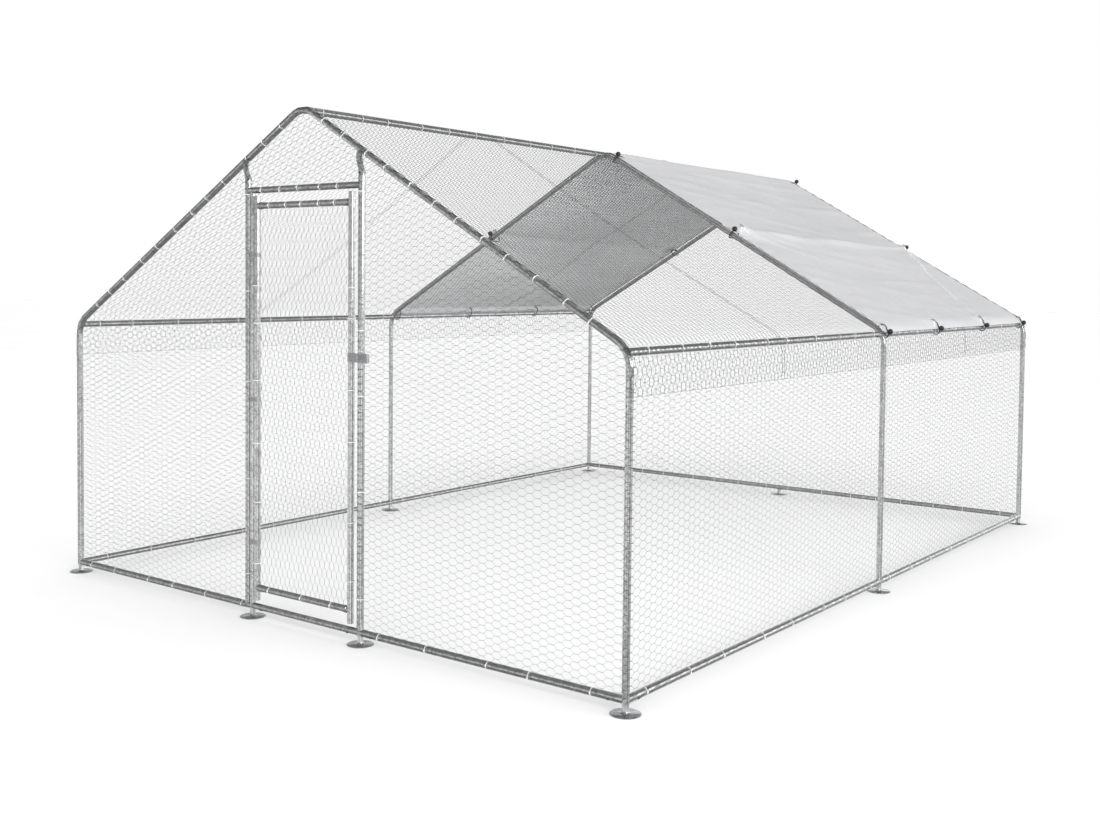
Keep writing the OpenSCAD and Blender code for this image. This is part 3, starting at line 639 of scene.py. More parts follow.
def mesh_lines(low, high, turned):
    """Ends of the twisted sides and of the slanted sides of a hexagonal mesh;
    turned, the twists run along the second axis."""
    order = [1, 0] if turned else [0, 1]
    low, high = low[order], high[order]
    step = PERIOD / 2
    rows = np.arange(math.floor(low[1] / MESH) - 1, math.ceil(high[1] / MESH) + 2)
    cols = np.arange(math.floor(low[0] / step) - 1, math.ceil(high[0] / step) + 2)
    i, j = np.meshgrid(cols, rows, indexing="ij")
    u = (i * step).ravel()
    v = ((j + 0.5 * (i % 2)) * MESH).ravel()
    near, far = u - TWIST / 2, u + TWIST / 2
    ends = [(near, v), (far, v), (near + step, v + MESH / 2), (near + step, v - MESH / 2)]
    left, right, above, below = (wobble(np.stack(end, 1)[:, order]) for end in ends)
    return (left, right), (np.concatenate([right, right]), np.concatenate([above, below]))


def edges_of(outline):
    """Corners and outward normals of a convex outline that runs anticlockwise."""
    a = np.array(outline)
    d = np.roll(a, -1, 0) - a
    n = np.stack([d[:, 1], -d[:, 0]], 1)
    return a, n / np.linalg.norm(n, axis=1)[:, None]


def corner_ways(edges):
    """Shifts that move an outline's corners outward along the mean of their two edges."""
    n = edges[1]
    m = n + np.roll(n, 1, 0)
    return m / (0.5 * (m * m).sum(1))[:, None]


def outside(p, edges):
    """How far each point lies past its nearest edge, and that edge; negative inside."""
    a, n = edges
    d = p @ n.T - (a * n).sum(1)[None, :]
    k = d.argmax(1)
    return d[np.arange(len(p)), k], k


def clip(p, q, outline, grow):
    """The parts of the lines from p to q inside a convex outline grown all round."""
    a, n = edges_of(outline)
    t0 = np.zeros(len(p))
    t1 = np.ones(len(p))
    keep = np.ones(len(p), bool)
    for corner, normal in zip(a, n):
        dp = (p - corner) @ normal - grow
        dq = (q - corner) @ normal - grow
        t = dp / np.where(dp == dq, 1.0, dp - dq)
        keep &= ~((dp > 0) & (dq > 0))
        t0 = np.where((dp > 0) & (dq <= 0), np.maximum(t0, t), t0)
        t1 = np.where((dq > 0) & (dp <= 0), np.minimum(t1, t), t1)
    keep &= (t1 - t0) * np.linalg.norm(q - p, axis=1) > SHORTEST
    span = (q - p)[keep]
    return p[keep] + span * t0[keep, None], p[keep] + span * t1[keep, None]


def split(p, q, count):
    """Each line cut in count equal pieces."""
    t = np.arange(count) / count
    starts = p[:, None, :] + (q - p)[:, None, :] * t[None, :, None]
    ends = starts + (q - p)[:, None, :] / count
    return starts.reshape(-1, p.shape[1]), ends.reshape(-1, p.shape[1])


class Wires:
    def __init__(self):
        self.verts = []
        self.faces = []
        self.mats = []
        self.count = 0

    def add(self, rings, mat):
        """rings has the shape (wires, rings, sides, 3)."""
        many, cuts, sides, _ = rings.shape
        base = self.count + np.arange(many)[:, None, None] * (cuts * sides)
        row = np.arange(cuts - 1)[None, :, None] * sides
        k = np.arange(sides)[None, None, :]
        j = (k + 1) % sides
        near = base + row
        far = near + sides
        quads = np.stack([near + k, near + j, far + j, far + k], -1)
        self.verts.append(rings.reshape(-1, 3))
        self.faces.append(quads.reshape(-1, 4))
        self.mats.append(np.full(quads.size // 4, mat, np.int32))
        self.count += many * cuts * sides

    def ring(self, p, q, normal, radius, sides):
        """A ring round each wire, as seen from its centre, and the wire's two side ways."""
        d = q - p
        d = d / np.maximum(np.linalg.norm(d, axis=1), 1e-9)[:, None]
        x = normal - d * (d * normal).sum(1)[:, None]
        x = x / np.maximum(np.linalg.norm(x, axis=1), 1e-9)[:, None]
        y = np.cross(d, x)
        a = 2 * np.pi * np.arange(sides) / sides
        ring = np.cos(a)[None, :, None] * x[:, None, :] + np.sin(a)[None, :, None] * y[:, None, :]
        return radius * ring, x, y

    def straight(self, p, q, normal, radius, sides=3, mat=0):
        ring = self.ring(p, q, normal, radius, sides)[0]
        self.add(np.stack([p[:, None, :] + ring, q[:, None, :] + ring], 1), mat)

    def twisted(self, p, q, normal, radius, mat=0):
        ring, x, y = self.ring(p, q, normal, radius, 3)
        for strand in (0.0, np.pi):
            rings = []
            for t in (0.0, 0.5, 1.0):
                w = strand + 2 * np.pi * TURNS * t
                centre = p + (q - p) * t + radius * (math.cos(w) * x + math.sin(w) * y)
                rings.append(centre[:, None, :] + ring)
            self.add(np.stack(rings, 1), mat)

    def build(self, name, body, node):
        verts = np.concatenate(self.verts).astype(np.float32)
        faces = np.concatenate(self.faces).astype(np.int32)
        mesh = bpy.data.meshes.new(name)
        mesh.vertices.add(len(verts))
        mesh.vertices.foreach_set("co", verts.ravel())
        mesh.loops.add(faces.size)
        mesh.loops.foreach_set("vertex_index", faces.ravel())
        mesh.polygons.add(len(faces))
        mesh.polygons.foreach_set("loop_start", np.arange(0, faces.size, 4, dtype=np.int32))
        mesh.polygons.foreach_set("material_index", np.concatenate(self.mats))
        mesh.update(calc_edges=True)
        mesh.shade_smooth()
        link(name, mesh, (WIRE, SHADE_PAINTED_WIRE), body, [node])


def in_the_open(p):
    return np.zeros(len(p), bool)


def knit(node, outline, place, grow, body="frame", turned=False, seams=(), ends=("",), gauge=1.0,
         shaded=in_the_open):
    """Lays a hexagonal net in the outline, as one piece or as one for each half along the first axis;
    place sets flat points on the frame and gives their normals. Over the posts and where it is shaded
    the net is drawn heavier and in a darker copy of the wire: painted shade."""
    edges = edges_of(outline)
    low, high = np.min(outline, 0) - grow, np.max(outline, 0) + grow
    twists, slants = (clip(*lines, outline, grow) for lines in mesh_lines(low, high, turned))
    rim = np.array(outline) + corner_ways(edges) * grow
    rim = split(rim, np.roll(rim, -1, 0), 40)[0]
    middle = (low[0] + high[0]) / 2
    for end, word in enumerate(ends):

        def half(p, q):
            if len(ends) == 1:
                return p, q
            kept = (p[:, 0] + q[:, 0] > 2 * middle) == bool(end)
            return p[kept], q[kept]

        def lay(form, p, q, radius, **more):
            (a, n), (b, _) = place(p), place(q)
            form(a, b, n, radius, **more)

        wires = Wires()
        for lines, radius, form in ((twists, THICK, wires.twisted), (slants, THIN, wires.straight)):
            p, q = half(*lines)
            near = np.maximum(outside(p, edges)[0], outside(q, edges)[0]) > -TUBE
            over_p, over_q = split(p[near], q[near], 3 if lines is slants else 1)
            depth, side = outside((over_p + over_q) / 2, edges)
            # Wires over the upright tubes take the darker wire: painted shade.
            painted_shade_over_post = (depth > -POST_SHARE * TUBE) & (np.abs(edges[1][side, 0]) > UPRIGHT)
            p, q = p[~near], q[~near]
            # Wires that shaded picks out take the darker wire: painted shade.
            dark = shaded((p + q) / 2)
            lay(form, p[~dark], q[~dark], radius * gauge)
            lay(form, p[dark], q[dark], radius * (gauge * DOUBLED), mat=1)
            lay(form, over_p[~painted_shade_over_post], over_q[~painted_shade_over_post], radius)
            lay(form, over_p[painted_shade_over_post], over_q[painted_shade_over_post], radius * DOUBLED, mat=1)
        lay(wires.straight, *half(rim, np.roll(rim, -1, 0)), THIN * 1.2, sides=5)
        for at in seams:
            line = np.stack([np.full(81, at), np.linspace(low[1] + grow, high[1] - grow, 81)], 1)
            lay(wires.twisted, *half(line[:-1], line[1:]), THIN)
        wires.build("_".join(filter(None, (node, word, "wire"))), body, node)


def flat_place(outline, origin, u_way, v_way, out, slack=0.004):
    """A flat panel on the outside of the tubes, whose edge turns round the tube under it."""
    edges = edges_of(outline)
    origin, u_way, v_way, out = (np.array(v, float) for v in (origin, u_way, v_way, out))

    def place(p):
        past, k = outside(p, edges)
        over = np.maximum(past, 0.0)
        angle = over / NET
        edge_way = edges[1][k]
        spot = p + edge_way * (NET * np.sin(angle) - over)[:, None]
        inside = np.clip(-past / 0.25, 0.0, 1.0)
        u, v = p[:, 0], p[:, 1]
        bulge = slack * (np.sin(2.3 * u + 0.6) * np.sin(3.1 * v + 0.9) + 0.5 * np.sin(6.1 * u - 4.0 * v))
        depth = NET * np.cos(angle) - NET + bulge * inside
        where = origin + spot[:, :1] * u_way + spot[:, 1:] * v_way + depth[:, None] * out
        past_edge = edge_way[:, :1] * u_way + edge_way[:, 1:] * v_way
        return where, np.cos(angle)[:, None] * out + np.sin(angle)[:, None] * past_edge

    return place


def mirrored(points):
    return [(-x, z) for x, z in reversed(points)]


bends = bend_points(6)
right = [(POST_X, SILL), (HALF_W, SILL)] + bends + [(POST_X, roof_z(POST_X))]
for hand, outline in (("left", mirrored(right)), ("right", right)):
    place = flat_place(outline, (0, FRONT - NET, 0), AX, AZ, -AY)
    knit(f"net_front_{hand}", outline, place, ROUND)
gable = [(-POST_X, HEADER), (POST_X, HEADER), (POST_X, roof_z(POST_X))]
gable += apex_points(6) + [(-POST_X, roof_z(POST_X))]
knit("net_gable", gable, flat_place(gable, (0, FRONT - NET, 0), AX, AZ, -AY, 0.002), ROUND)
rear = [(-HALF_W, SILL), (HALF_W, SILL)] + bends + apex_points(6) + mirrored(bends)
knit("net_rear", rear, flat_place(rear, (0, HALF_L + NET, 0), AX, AZ, AY), ROUND, ends=("left", "right"))

BAYS = ("front", "rear")
WALL_TOP = BEND_Z + (EAVE_R + NET) * BEND / 2
for hand, s in SIDES:
    outline = [(-HALF_L, SILL), (HALF_L, SILL), (HALF_L, WALL_TOP), (-HALF_L, WALL_TOP)]
    flat = flat_place(outline, (s * (HALF_W + NET), 0, 0), AY, AZ, s * AX)

    def side_place(p, s=s, flat=flat):
        """Above the posts the wall net leans in along the eave bend."""
        where, tilt = flat(p)
        past = np.maximum(where[:, 2] - BEND_Z, 0.0)
        angle = past / (EAVE_R + NET)
        lean = np.abs(where[:, 0]) - HALF_W + EAVE_R
        where[:, 0] = np.where(past > 0, s * (HALF_W - EAVE_R + lean * np.cos(angle)), where[:, 0])
        where[:, 2] = np.where(past > 0, BEND_Z + lean * np.sin(angle), where[:, 2])
        return where, tilt

    knit(f"net_{hand}", outline, side_place, ROUND, ends=BAYS)


def profile(s, off):
    """Place and normal on the roof's outside at the distance s from the ridge; off is above the tube axes."""
    s = np.asarray(s, float)
    one = (APEX_R + off) * PITCH
    two = one + SLOPE
    three = two + (EAVE_R + off) * BEND
    a = np.clip(s / (APEX_R + off), 0, PITCH)
    x = (APEX_R + off) * np.sin(a)
    z = RIDGE - APEX_R + (APEX_R + off) * np.cos(a)
    run = np.clip(s - one, 0, SLOPE)
    x = x + run * math.cos(PITCH)
    z = z - run * math.sin(PITCH)
    b = np.clip((s - two) / (EAVE_R + off), 0, BEND) + PITCH
    x = x + (EAVE_R + off) * (np.sin(b) - math.sin(PITCH))
    z = z + (EAVE_R + off) * (np.cos(b) - math.cos(PITCH))
    drop = np.maximum(s - three, 0.0)
    z = z - drop
    x = x + np.minimum(drop * 0.05, 0.002)
    turn = np.where(s < two, a, b)
    return x, z, np.sin(turn), np.cos(turn)


def sag(s, y, off):
    """Slack of the roof between rafters, ridge and eave; middle bungees hold up the half under the cover."""
    t = np.clip((s - (APEX_R + off) * PITCH) / SLOPE, 0, 1)
    across = np.abs(np.sin(np.pi * y / HALF_L)) ** 0.8
    middle = 0.49 + 0.02 * np.clip(y / HALF_L, 0, 1) * 2
    lobes = np.where(t < middle, np.sin(np.pi * t / middle), np.sin(np.pi * (1 - t) / (1 - middle)))
    return np.where(y > 0, -0.017 * lobes, -0.016 * np.sin(np.pi * t)) * across


def roof_place(side):
    def place(p):
        over = np.maximum(np.abs(p[:, 0]) - HALF_L, 0.0)
        angle = over / NET
        y = np.sign(p[:, 0]) * (np.abs(p[:, 0]) - over + NET * np.sin(angle))
        x, z, nx, nz = profile(p[:, 1], NET)
        lift = NET * np.cos(angle) - NET + np.where(over > 0, 0.0, sag(p[:, 1], p[:, 0], NET))
        where = np.stack([side * (x + nx * lift), y, z + nz * lift], 1)
        tilt = np.stack([side * nx, np.zeros(len(p)), nz], 1)
        return where, tilt

    return place


SEAMS = (-0.990, -0.972, 0.985, 1.003)
SLOPE_S = (APEX_R + NET) * PITCH + SLOPE
HEM_S = SLOPE_S + (EAVE_R + NET) * BEND + BEND_Z - HEM_LOW


# The roof net's wires under the cover take the darker wire: painted shade.
def under_cover(p):
    return (p[:, 0] > 0) & (p[:, 1] < SLOPE_S)


for hand, s in SIDES:
    outline = [(-HALF_L, 0.0), (HALF_L, 0.0), (HALF_L, HEM_S), (-HALF_L, HEM_S)]
    knit(f"net_roof_{hand}", outline, roof_place(s), ROUND, turned=True, seams=SEAMS, ends=BAYS,
         gauge=1.05, shaded=under_cover)

DOOR_NET = FRONT + 0.0156
outline = [(-STILE_X, BAR_LOW), (STILE_X, BAR_LOW), (STILE_X, BAR_TOP), (-STILE_X, BAR_TOP)]
knit("door_net", outline, flat_place(outline, (0, DOOR_NET, 0), AX, AZ, AY, 0.0015), 0.0, "door", True)


# Cable ties round tube and net
TIE_R = TUBE + 0.0022
DOOR_TIE_R = TUBE + 0.0030
TIES_LOW = 0.12
TIES_TOP = roof_z(POST_X) - 0.08


def tie(shape, place, way, toward, radius):
    side = (toward - way * toward.dot(way)).normalized()
    turn = way.cross(side)
    band(shape, place, way, radius, radius + 0.0009, 0.0012, 18)
    shape.box(place + side * (radius + 0.0016), side * 0.0018, turn * 0.0020, way * 0.0020)
    shape.box(place + side * (radius + 0.0028) + turn * 0.0034, side * 0.0005, turn * 0.0020, way * 0.0012)


def ties_along(shape, points, toward, gap, start=0.05, stop=0.05, radius=TIE_R):
    """Ties about gap apart on the straight run between two points, set a little unevenly as by hand."""
    a, b = (Vector(point) for point in points)
    way = (b - a).normalized()
    room = (b - a).length - start - stop
    count = max(1, round(room / gap))
    for k in range(count + 1):
        at = start + room * k / count + float(rng.uniform(-0.16, 0.16)) * gap
        at = min(max(at, start), (b - a).length - stop)
        spin = Vector(toward).lerp(way.cross(Vector(toward)), float(rng.uniform(-0.45, 0.45)))
        lean = (way + AY.cross(way) * float(rng.uniform(-0.08, 0.08))).normalized()
        tie(shape, a + way * at, lean, spin, radius)


shape = Shape()
for s in (-1, 1):
    low = Vector((s * ARC_X, FRONT, ARC_Z))
    ties_along(shape, (low, low + up_slope(s) * SLOPE), -AY, 0.135, 0.11, 0.06)
ties_along(shape, cross(-POST_X, POST_X, FRONT, HEADER), -AY, 0.10, 0.075, 0.12)
ties_along(shape, cross(-HALF_W, HINGE_X, FRONT, SILL), -AY, 0.22, 0.10)
ties_along(shape, cross(POST_X, HALF_W, FRONT, SILL), -AY, 0.22, 0.10, 0.10)
ties_along(shape, upright(POST_X, TIES_LOW, LATCH - 0.05), -AY, 0.42)
ties_along(shape, upright(POST_X, LATCH + 0.05, TIES_TOP), -AY, 0.36)
ties_along(shape, upright(-POST_X, TIES_LOW, TIES_TOP), -AY - AX, 0.42)
build("cable_ties_front", shape, [NYLON])
shape = Shape()
ties_along(shape, cross(-HALF_W, HALF_W, HALF_L, SILL), AY, 0.19, 0.10, 0.10)
build("cable_ties_rear", shape, [NYLON])
for hand, s in SIDES:
    shape = Shape()
    for y, out, gap, end in ((-HALF_L, s * AX + AZ, 0.21, 0.08), (0.0, s * AX - AZ, 0.22, 0.17)):
        ties_along(shape, bay(s * HALF_W, y, SILL), s * AX, 0.27, 0.09, 0.09)
        ties_along(shape, bay(s * EAVE_X, y, EAVE_Z), out, gap, end, end)
    build(f"cable_ties_{hand}", shape, [NYLON])
shape = Shape()
ties_along(shape, bay(0, -HALF_L, RIDGE), AZ, 0.18, 0.09, 0.09)
build("cable_ties_ridge", shape, [NYLON])
shape = Shape()
for z, gap in ((BAR_LOW, 0.19), (BAR_TOP, 0.085)):
    ties_along(shape, cross(-STILE_X, STILE_X, FRONT, z), -AY, gap, 0.08, 0.08, DOOR_TIE_R)
for s in (-1, 1):
    for low, high in ((0.17, LATCH - 0.06), (LATCH + 0.06, 1.36)):
        ties_along(shape, upright(s * STILE_X, low, high), s * -AX, 0.25, radius=DOOR_TIE_R)
build("cable_ties_door", shape, [NYLON], "door")


# Cover on the rear half of the roof, drawn by its bungees
COVER = 0.0150
COVER_LOW = 0.0147
SHEET_THICK = 0.0007
DROP = 0.060
EYELET_IN = 0.045
HEM = 0.036
HEM_IN = 0.005
REAR_IN = (0.012, 0.031)
RUN = (APEX_R + COVER) * PITCH + SLOPE
COVER_END = RUN + DROP
HOLE_Y = 0.0492
MIDDLE = {0.0: 0.51 * SLOPE, HALF_L: 0.47 * SLOPE}
HIGH = SLOPE - 0.015
RAFTER_BUNGEES = [(y, way, s, up) for y, way in ((0.0, 1), (HALF_L, -1))
                  for s, up in ((-1, MIDDLE[y]), (1, HIGH), (1, MIDDLE[y]))]
EAVE_Y = (0.035, HALF_L / 3, 2 * HALF_L / 3, HALF_L - 0.035)
EAVE_BUNGEES = [(s, y) for s in (-1, 1) for y in EAVE_Y]
HOLE_S = COVER_END - EYELET_IN
holes = [(s * (RUN - up), y + way * HOLE_Y) for y, way, s, up in RAFTER_BUNGEES]
holes += [(s * HOLE_S, y) for s, y in EAVE_BUNGEES]


def line_gap(s, y, a, b):
    """Distance from a line between two points on the cover, fading past its ends, and the share along it."""
    a, b = np.array(a), np.array(b)
    d = b - a
    length = np.linalg.norm(d)
    d = d / length
    along = (s - a[0]) * d[0] + (y - a[1]) * d[1]
    off = (s - a[0]) * -d[1] + (y - a[1]) * d[0]
    past = np.maximum(np.maximum(-along, along - length), 0.0)
    return off, np.exp(-(past / 0.05) ** 2), along / length


def rumple(s, y):
    """Height of the cover's folds and creases over its taut line."""
    down = np.abs(s)
    front = (RUN - MIDDLE[0.0], HOLE_Y)
    rear = (RUN - MIDDLE[HALF_L], HALF_L - HOLE_Y)
    along = np.clip((y - front[1]) / (rear[1] - front[1]), 0.0, 1.0)
    below = down - front[0] - (rear[0] - front[0]) * along
    # The main fold between the middle bungees rises slowly and drops in a steep face, narrower to the rear.
    crest = 0.017 - 0.008 * along
    face = 0.080 - 0.040 * along
    h = crest * np.where(below < 0, np.exp(np.minimum(below, 0.0) / 0.035), 1 - smooth(below / face))
    # Lesser folds run from bungee to bungee: two ends, height and width.
    folds = [(rear, (HOLE_S, EAVE_Y[2]), 0.015, 0.018), (rear, (HOLE_S, EAVE_Y[3]), 0.006, 0.035)]
    for drop, reach in ((0.10, 1.3), (0.20, 1.0), (0.34, 0.8)):
        folds.append((front, (front[0] + drop, reach), 0.0080, 0.015))
    folds += [((HOLE_S, EAVE_Y[1]), (HOLE_S - 0.16, 0.9), 0.007, 0.016),
              ((HOLE_S, EAVE_Y[2]), (HOLE_S - 0.14, 1.0), 0.007, 0.016)]
    folds += [((0.12, 0.1), (0.20, 1.5), 0.006, 0.015), ((0.42, 0.2), (0.46, 1.7), 0.006, 0.016)]
    for a, b, tall, wide in folds:
        off, fade, share = line_gap(down, y, a, b)
        h += tall * np.exp(-np.abs(off) / wide) * fade * (0.62 + 0.38 * np.cos(2.6 * share + 0.3))
    # Creases of the folded sheet, small waves and puckers round the holes.
    for at in (0.36, 0.92, 1.28):
        for side in (-1, 1):
            crease = np.abs(s - side * at + 0.012 * np.sin(3.0 * y + at * 9))
            h += 0.0042 * np.exp(-crease / 0.007) * (0.6 + 0.4 * np.sin(5.0 * y + 7.0 * at * side))
    for at in (0.52, 1.02, 1.50):
        crease = np.abs(y - at + 0.010 * np.sin(4.0 * s + at * 5))
        h += 0.0042 * np.exp(-crease / 0.007) * (0.6 + 0.4 * np.sin(6.0 * s + 4.0 * at))
    h += 0.0032 * np.sin(21.0 * s + 2.2 * np.sin(2.7 * y)) * np.sin(4.1 * y + 1.2 * s)
    h += 0.0026 * np.sin(47.0 * s - 6.0 * y + 1.8 * np.sin(3.3 * y + s)) * np.sin(3.0 * y - 2.0 * s + 0.7)
    for hs, hy in holes:
        gap = np.hypot(s - hs, y - hy)
        fan = np.sin(7.0 * np.arctan2(y - hy, s - hs) + hs)
        h += 0.0035 * fan * np.exp(-gap / 0.09) * np.clip(gap / 0.03, 0, 1)
    return h


def cover_points(s, y, off):
    """The sheet's surface; its ends are drawn in a little from the rafters they lie on,
    and the right rear end more, so that its rafter shows."""
    slack = sag(np.abs(s), y, COVER)
    edge = np.clip(np.minimum(y, HALF_L - y) / 0.06, 0, 1)
    lift = np.maximum((rumple(s, y) + slack) * (0.35 + 0.65 * edge), slack + 0.0002)
    x, z, nx, nz = profile(np.abs(s), COVER)
    side = np.where(s < 0, -1.0, 1.0)
    rear = np.where(s < 0, *REAR_IN)
    y = y + HEM_IN * np.clip(1 - y / HEM, 0, 1) - rear * np.clip(1 - (HALF_L - y) / HEM, 0, 1)
    y = y + (1 - edge) * 0.002 * np.sin(9.0 * s)
    return np.stack([side * (x + nx * (lift + off)), y, z + nz * (lift + off)], -1)


def cover():
    rows, cols = 300, 150
    s = np.linspace(-COVER_END, COVER_END, rows + 1)
    y = np.linspace(0.0, HALF_L, cols + 1)
    gs, gy = np.meshgrid(s, y, indexing="ij")
    top = cover_points(gs, gy, SHEET_THICK).reshape(-1, 3)
    low = cover_points(gs, gy, 0.0).reshape(-1, 3)
    many = len(top)
    n = np.arange(many).reshape(rows + 1, cols + 1)
    upper = np.stack([n[:-1, :-1], n[1:, :-1], n[1:, 1:], n[:-1, 1:]], -1).reshape(-1, 4)
    rim = np.concatenate([n[:-1, 0], n[-1, :-1], n[:0:-1, -1], n[0, :0:-1]])
    nxt = np.roll(rim, -1)
    border = np.stack([rim, rim + many, nxt + many, nxt], 1)
    faces = np.concatenate([upper, upper[:, ::-1] + many, border])
    mats = np.repeat([0, 1, 0], [len(upper), len(upper), len(border)]).astype(np.int32)
    mesh = bpy.data.meshes.new("roof_cover_sheet")
    mesh.from_pydata(np.concatenate([top, low]).tolist(), [], faces.tolist())
    mesh.polygons.foreach_set("material_index", mats)
    mesh.shade_smooth()
    mesh.set_sharp_from_angle(angle=math.radians(60))
    return link("roof_cover_sheet", mesh, [SHEET_TOP, SHEET_LOW], "frame", ["roof_cover"])


sheet = cover()

EYELET_RING = [(0.0118, 0.0), (0.0122, 0.0012), (0.0112, 0.0024), (0.0082, 0.0026), (0.0068, 0.0016),
               (0.0066, 0.0)]
shape = Shape()
for hs, hy in holes:
    at = cover_points(np.array([hs]), np.array([hy]), SHEET_THICK)[0]
    nx, nz = profile(abs(hs), COVER)[2:]
    out = Vector((math.copysign(float(nx), hs), 0, float(nz)))
    lathe(shape, Vector(at) - out * 0.0015, out, EYELET_RING, 28, caps=False)
eyelets = build("cover_eyelets", shape, [EYELET])

# Bungees
LOOP = 0.0187
CORD_R = 0.0025
BALL_R = 0.0125
BALL_OUT = 0.0287
BALL_NECK = [(0.0042, -0.0128), (0.0050, -0.0124)]
RAFTER_LOOP = 0.040
cords = Shape()
balls = Shape()


def bungee(origin, x, y, length):
    """A stadium loop of cord in the plane of x and y, with its ball on the y side of the origin."""
    points = []
    for start, run, turn in ((0.0, length, 1), (length, -length, -1)):
        for k in range(17):
            a = turn * math.pi / 2 + math.pi * k / 16
            points.append(origin + x * (start + LOOP * math.cos(a)) + y * (LOOP * math.sin(a)))
        for k in range(1, 6):
            points.append(origin + x * (start + run * k / 6) - y * (turn * LOOP))
    many = len(points)
    rings = []
    for k in range(many):
        way = (points[(k + 1) % many] - points[k - 1]).normalized()
        rings.append((points[k], way, CORD_R))
    sweep(cords, rings, 12, x.cross(y), closed=True)
    outline = []
    for k in range(3, 24):
        a = math.pi * k / 24
        seam = 0.0003 if k == 12 else 0.0
        outline.append(((BALL_R + seam) * math.sin(a), -BALL_R * math.cos(a)))
    lathe(balls, origin + y * BALL_OUT, y, BALL_NECK + outline)


for y0, way, s, up in RAFTER_BUNGEES:
    origin = Vector((s * (ARC_X - up * math.cos(PITCH)), y0, ARC_Z + up * math.sin(PITCH)))
    bungee(origin, AY * way, off_slope(s), RAFTER_LOOP)
# Each eave loop leans from its rail to the cover's hole.
hole_turn = (DROP - EYELET_IN) / (EAVE_R + COVER_LOW)
hole_r = EAVE_R + COVER_LOW + 0.0006
hole_u = -hole_r * math.sin(hole_turn) + EAVE_R * math.sin(BEND / 2)
hole_n = hole_r * math.cos(hole_turn) - EAVE_R * math.cos(BEND / 2)
reach = math.hypot(hole_u, hole_n)
for s, at in EAVE_BUNGEES:
    along, out = up_slope(s), off_slope(s)
    x = (along * hole_u + out * hole_n) / reach
    y = (out * hole_u - along * hole_n) / reach
    bungee(Vector((s * EAVE_X, at, EAVE_Z)), x, y, reach - LOOP)
build("bungee_cord_loops", cords, [CORD], "frame", ["bungee_cords"])
build("bungee_ball_knobs", balls, [BALL], "frame", ["bungee_balls"], 50)


# Stage, light and camera
FLOOR = 60
corners = [(-FLOOR, -FLOOR, 0), (FLOOR, -FLOOR, 0), (FLOOR, FLOOR, 0), (-FLOOR, FLOOR, 0)]
floor_mesh = bpy.data.meshes.new("floor")
floor_mesh.from_pydata(corners, [], [(0, 1, 2, 3)])
floor = put("floor", floor_mesh)
paper, bsdf, place = graph("floor_paper")
blotch = ramp(noise_of(place, 0.8), [(0.3, (0.86, 0.86, 0.865)), (0.7, (0.88, 0.88, 0.88))])
join(blotch, bsdf.inputs["Base Color"])
bsdf.inputs["Roughness"].default_value = 0.9
bsdf.inputs["Specular IOR Level"].default_value = 0.1
floor_mesh.materials.append(paper)
floor.visible_glossy = False
floor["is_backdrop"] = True

SKY = 3.5
DIM_FLOOR = 0.30
DIM_CEILING = 0.26
world = bpy.data.worlds.new("studio")
scene.world = world
world.use_nodes = True
tree = world.node_tree
back = tree.nodes["Background"]
ray = add(tree, "ShaderNodeLightPath").outputs
way = add(tree, "ShaderNodeTexCoord").outputs["Generated"]
height = add(tree, "ShaderNodeSeparateXYZ")
join(way, height.inputs[0])
level = spread(height.outputs["Z"], 0.0, 1.0, -1.0, 1.0)


def grey_ramp(source, stops):
    return ramp(source, [(at, (tone, tone, tone)) for at, tone in stops])


def side_light(direction, stops):
    """Brightness round the room, by how far a direction points to one side."""
    toward = add(tree, "ShaderNodeVectorMath", {1: direction}, operation="DOT_PRODUCT")
    join(way, toward.inputs[0])
    return grey_ramp(spread(toward.outputs["Value"], 0.0, 1.0, -1.0, 1.0), stops)


def mixed(kind, share, first, second):
    """Mixes two sources or plain grey tones."""
    node = add(tree, "ShaderNodeMix", data_type="RGBA", blend_type=kind)
    for socket, source in ((0, share), (6, first), (7, second)):
        if isinstance(source, (int, float)):
            node.inputs[socket].default_value = source if socket == 0 else (source, source, source, 1.0)
        else:
            join(source, node.inputs[socket])
    return node.outputs[2]


# Soft light on the object: brightest near the horizon and toward the viewer's right.
sky = mixed("MULTIPLY", 1.0, grey_ramp(level, [(0.5, 1.0), (0.60, 0.95), (0.76, 0.50), (1.0, 0.12)]),
            side_light((0.90, -0.44, 0.0), [(0.0, 0.62), (0.5, 0.80), (1.0, 1.0)]))
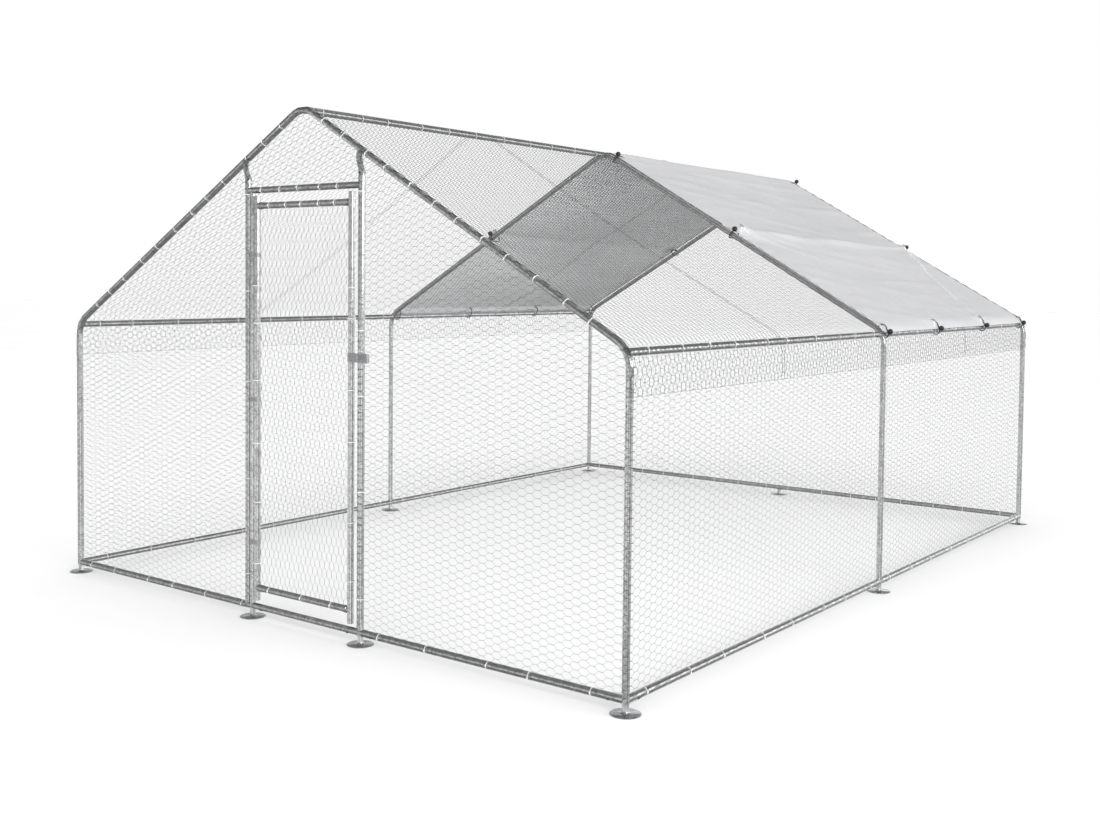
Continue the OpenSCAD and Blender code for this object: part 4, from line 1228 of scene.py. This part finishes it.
# What the metal mirrors: light and shade round the room, below and above eye level, and a dim ceiling.
below_eye = side_light((-0.30, -0.95, 0.0), [(0.0, 0.85), (0.30, 0.60), (0.60, 0.60), (0.70, 1.80),
                                              (0.80, 1.00), (0.90, 0.52), (0.94, 0.60), (1.0, 1.15)])
above_eye = side_light((0.57, 0.82, 0.0), [(0.0, 0.55), (0.6, 0.65), (0.85, 1.60), (1.0, 1.80)])
lower_band = grey_ramp(level, [(0.24, 0.0), (0.40, 1.0)])
upper_band = grey_ramp(level, [(0.46, 0.0), (0.50, 1.0)])
ceiling = grey_ramp(level, [(0.58, 0.0), (0.70, 1.0)])
room = mixed("MIX", lower_band, DIM_FLOOR, below_eye)
room = mixed("MIX", upper_band, room, above_eye)
room = mixed("MIX", ceiling, room, DIM_CEILING)
lit = mixed("MULTIPLY", 1.0, sky, SKY)
seen = mixed("MIX", ray["Is Glossy Ray"], lit, room)
join(mixed("MIX", ray["Is Camera Ray"], seen, 1.0), back.inputs["Color"])


def softbox(name, place, target, size, power):
    lamp = bpy.data.lights.new(name, "AREA")
    lamp.shape = "RECTANGLE"
    lamp.size, lamp.size_y = size
    lamp.energy = power
    box = put(name, lamp)
    box.location = place
    box.rotation_euler = (Vector(target) - Vector(place)).to_track_quat("-Z", "Y").to_euler()


softbox("overhead", (0.5, -0.5, 7.0), (0, 0, 0), (6.0, 6.0), 40)
softbox("viewer_side", (8.0, -4.0, 3.0), (0, 0, 0.8), (3.0, 3.0), 220)

# The camera fitted to the photograph; its focal length and the place of its axis are in pixels.
PHOTO_WIDE = 1100
PHOTO_TALL = 824
FOCAL = 1247.63
AXIS_DOWN = 331.13
SENSOR = 36.0
camera = bpy.data.cameras.new("camera")
camera.sensor_width = SENSOR
camera.lens = FOCAL / PHOTO_WIDE * SENSOR
camera.shift_y = (AXIS_DOWN - PHOTO_TALL / 2) / PHOTO_WIDE
eye = put("camera", camera)
eye.location = (3.6011, -5.1766, 1.3436)
eye.rotation_euler = (math.radians(87.66), math.radians(-0.59), math.radians(37.26))
scene.camera = eye
scene.view_settings.view_transform = "Standard"

low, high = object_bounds()
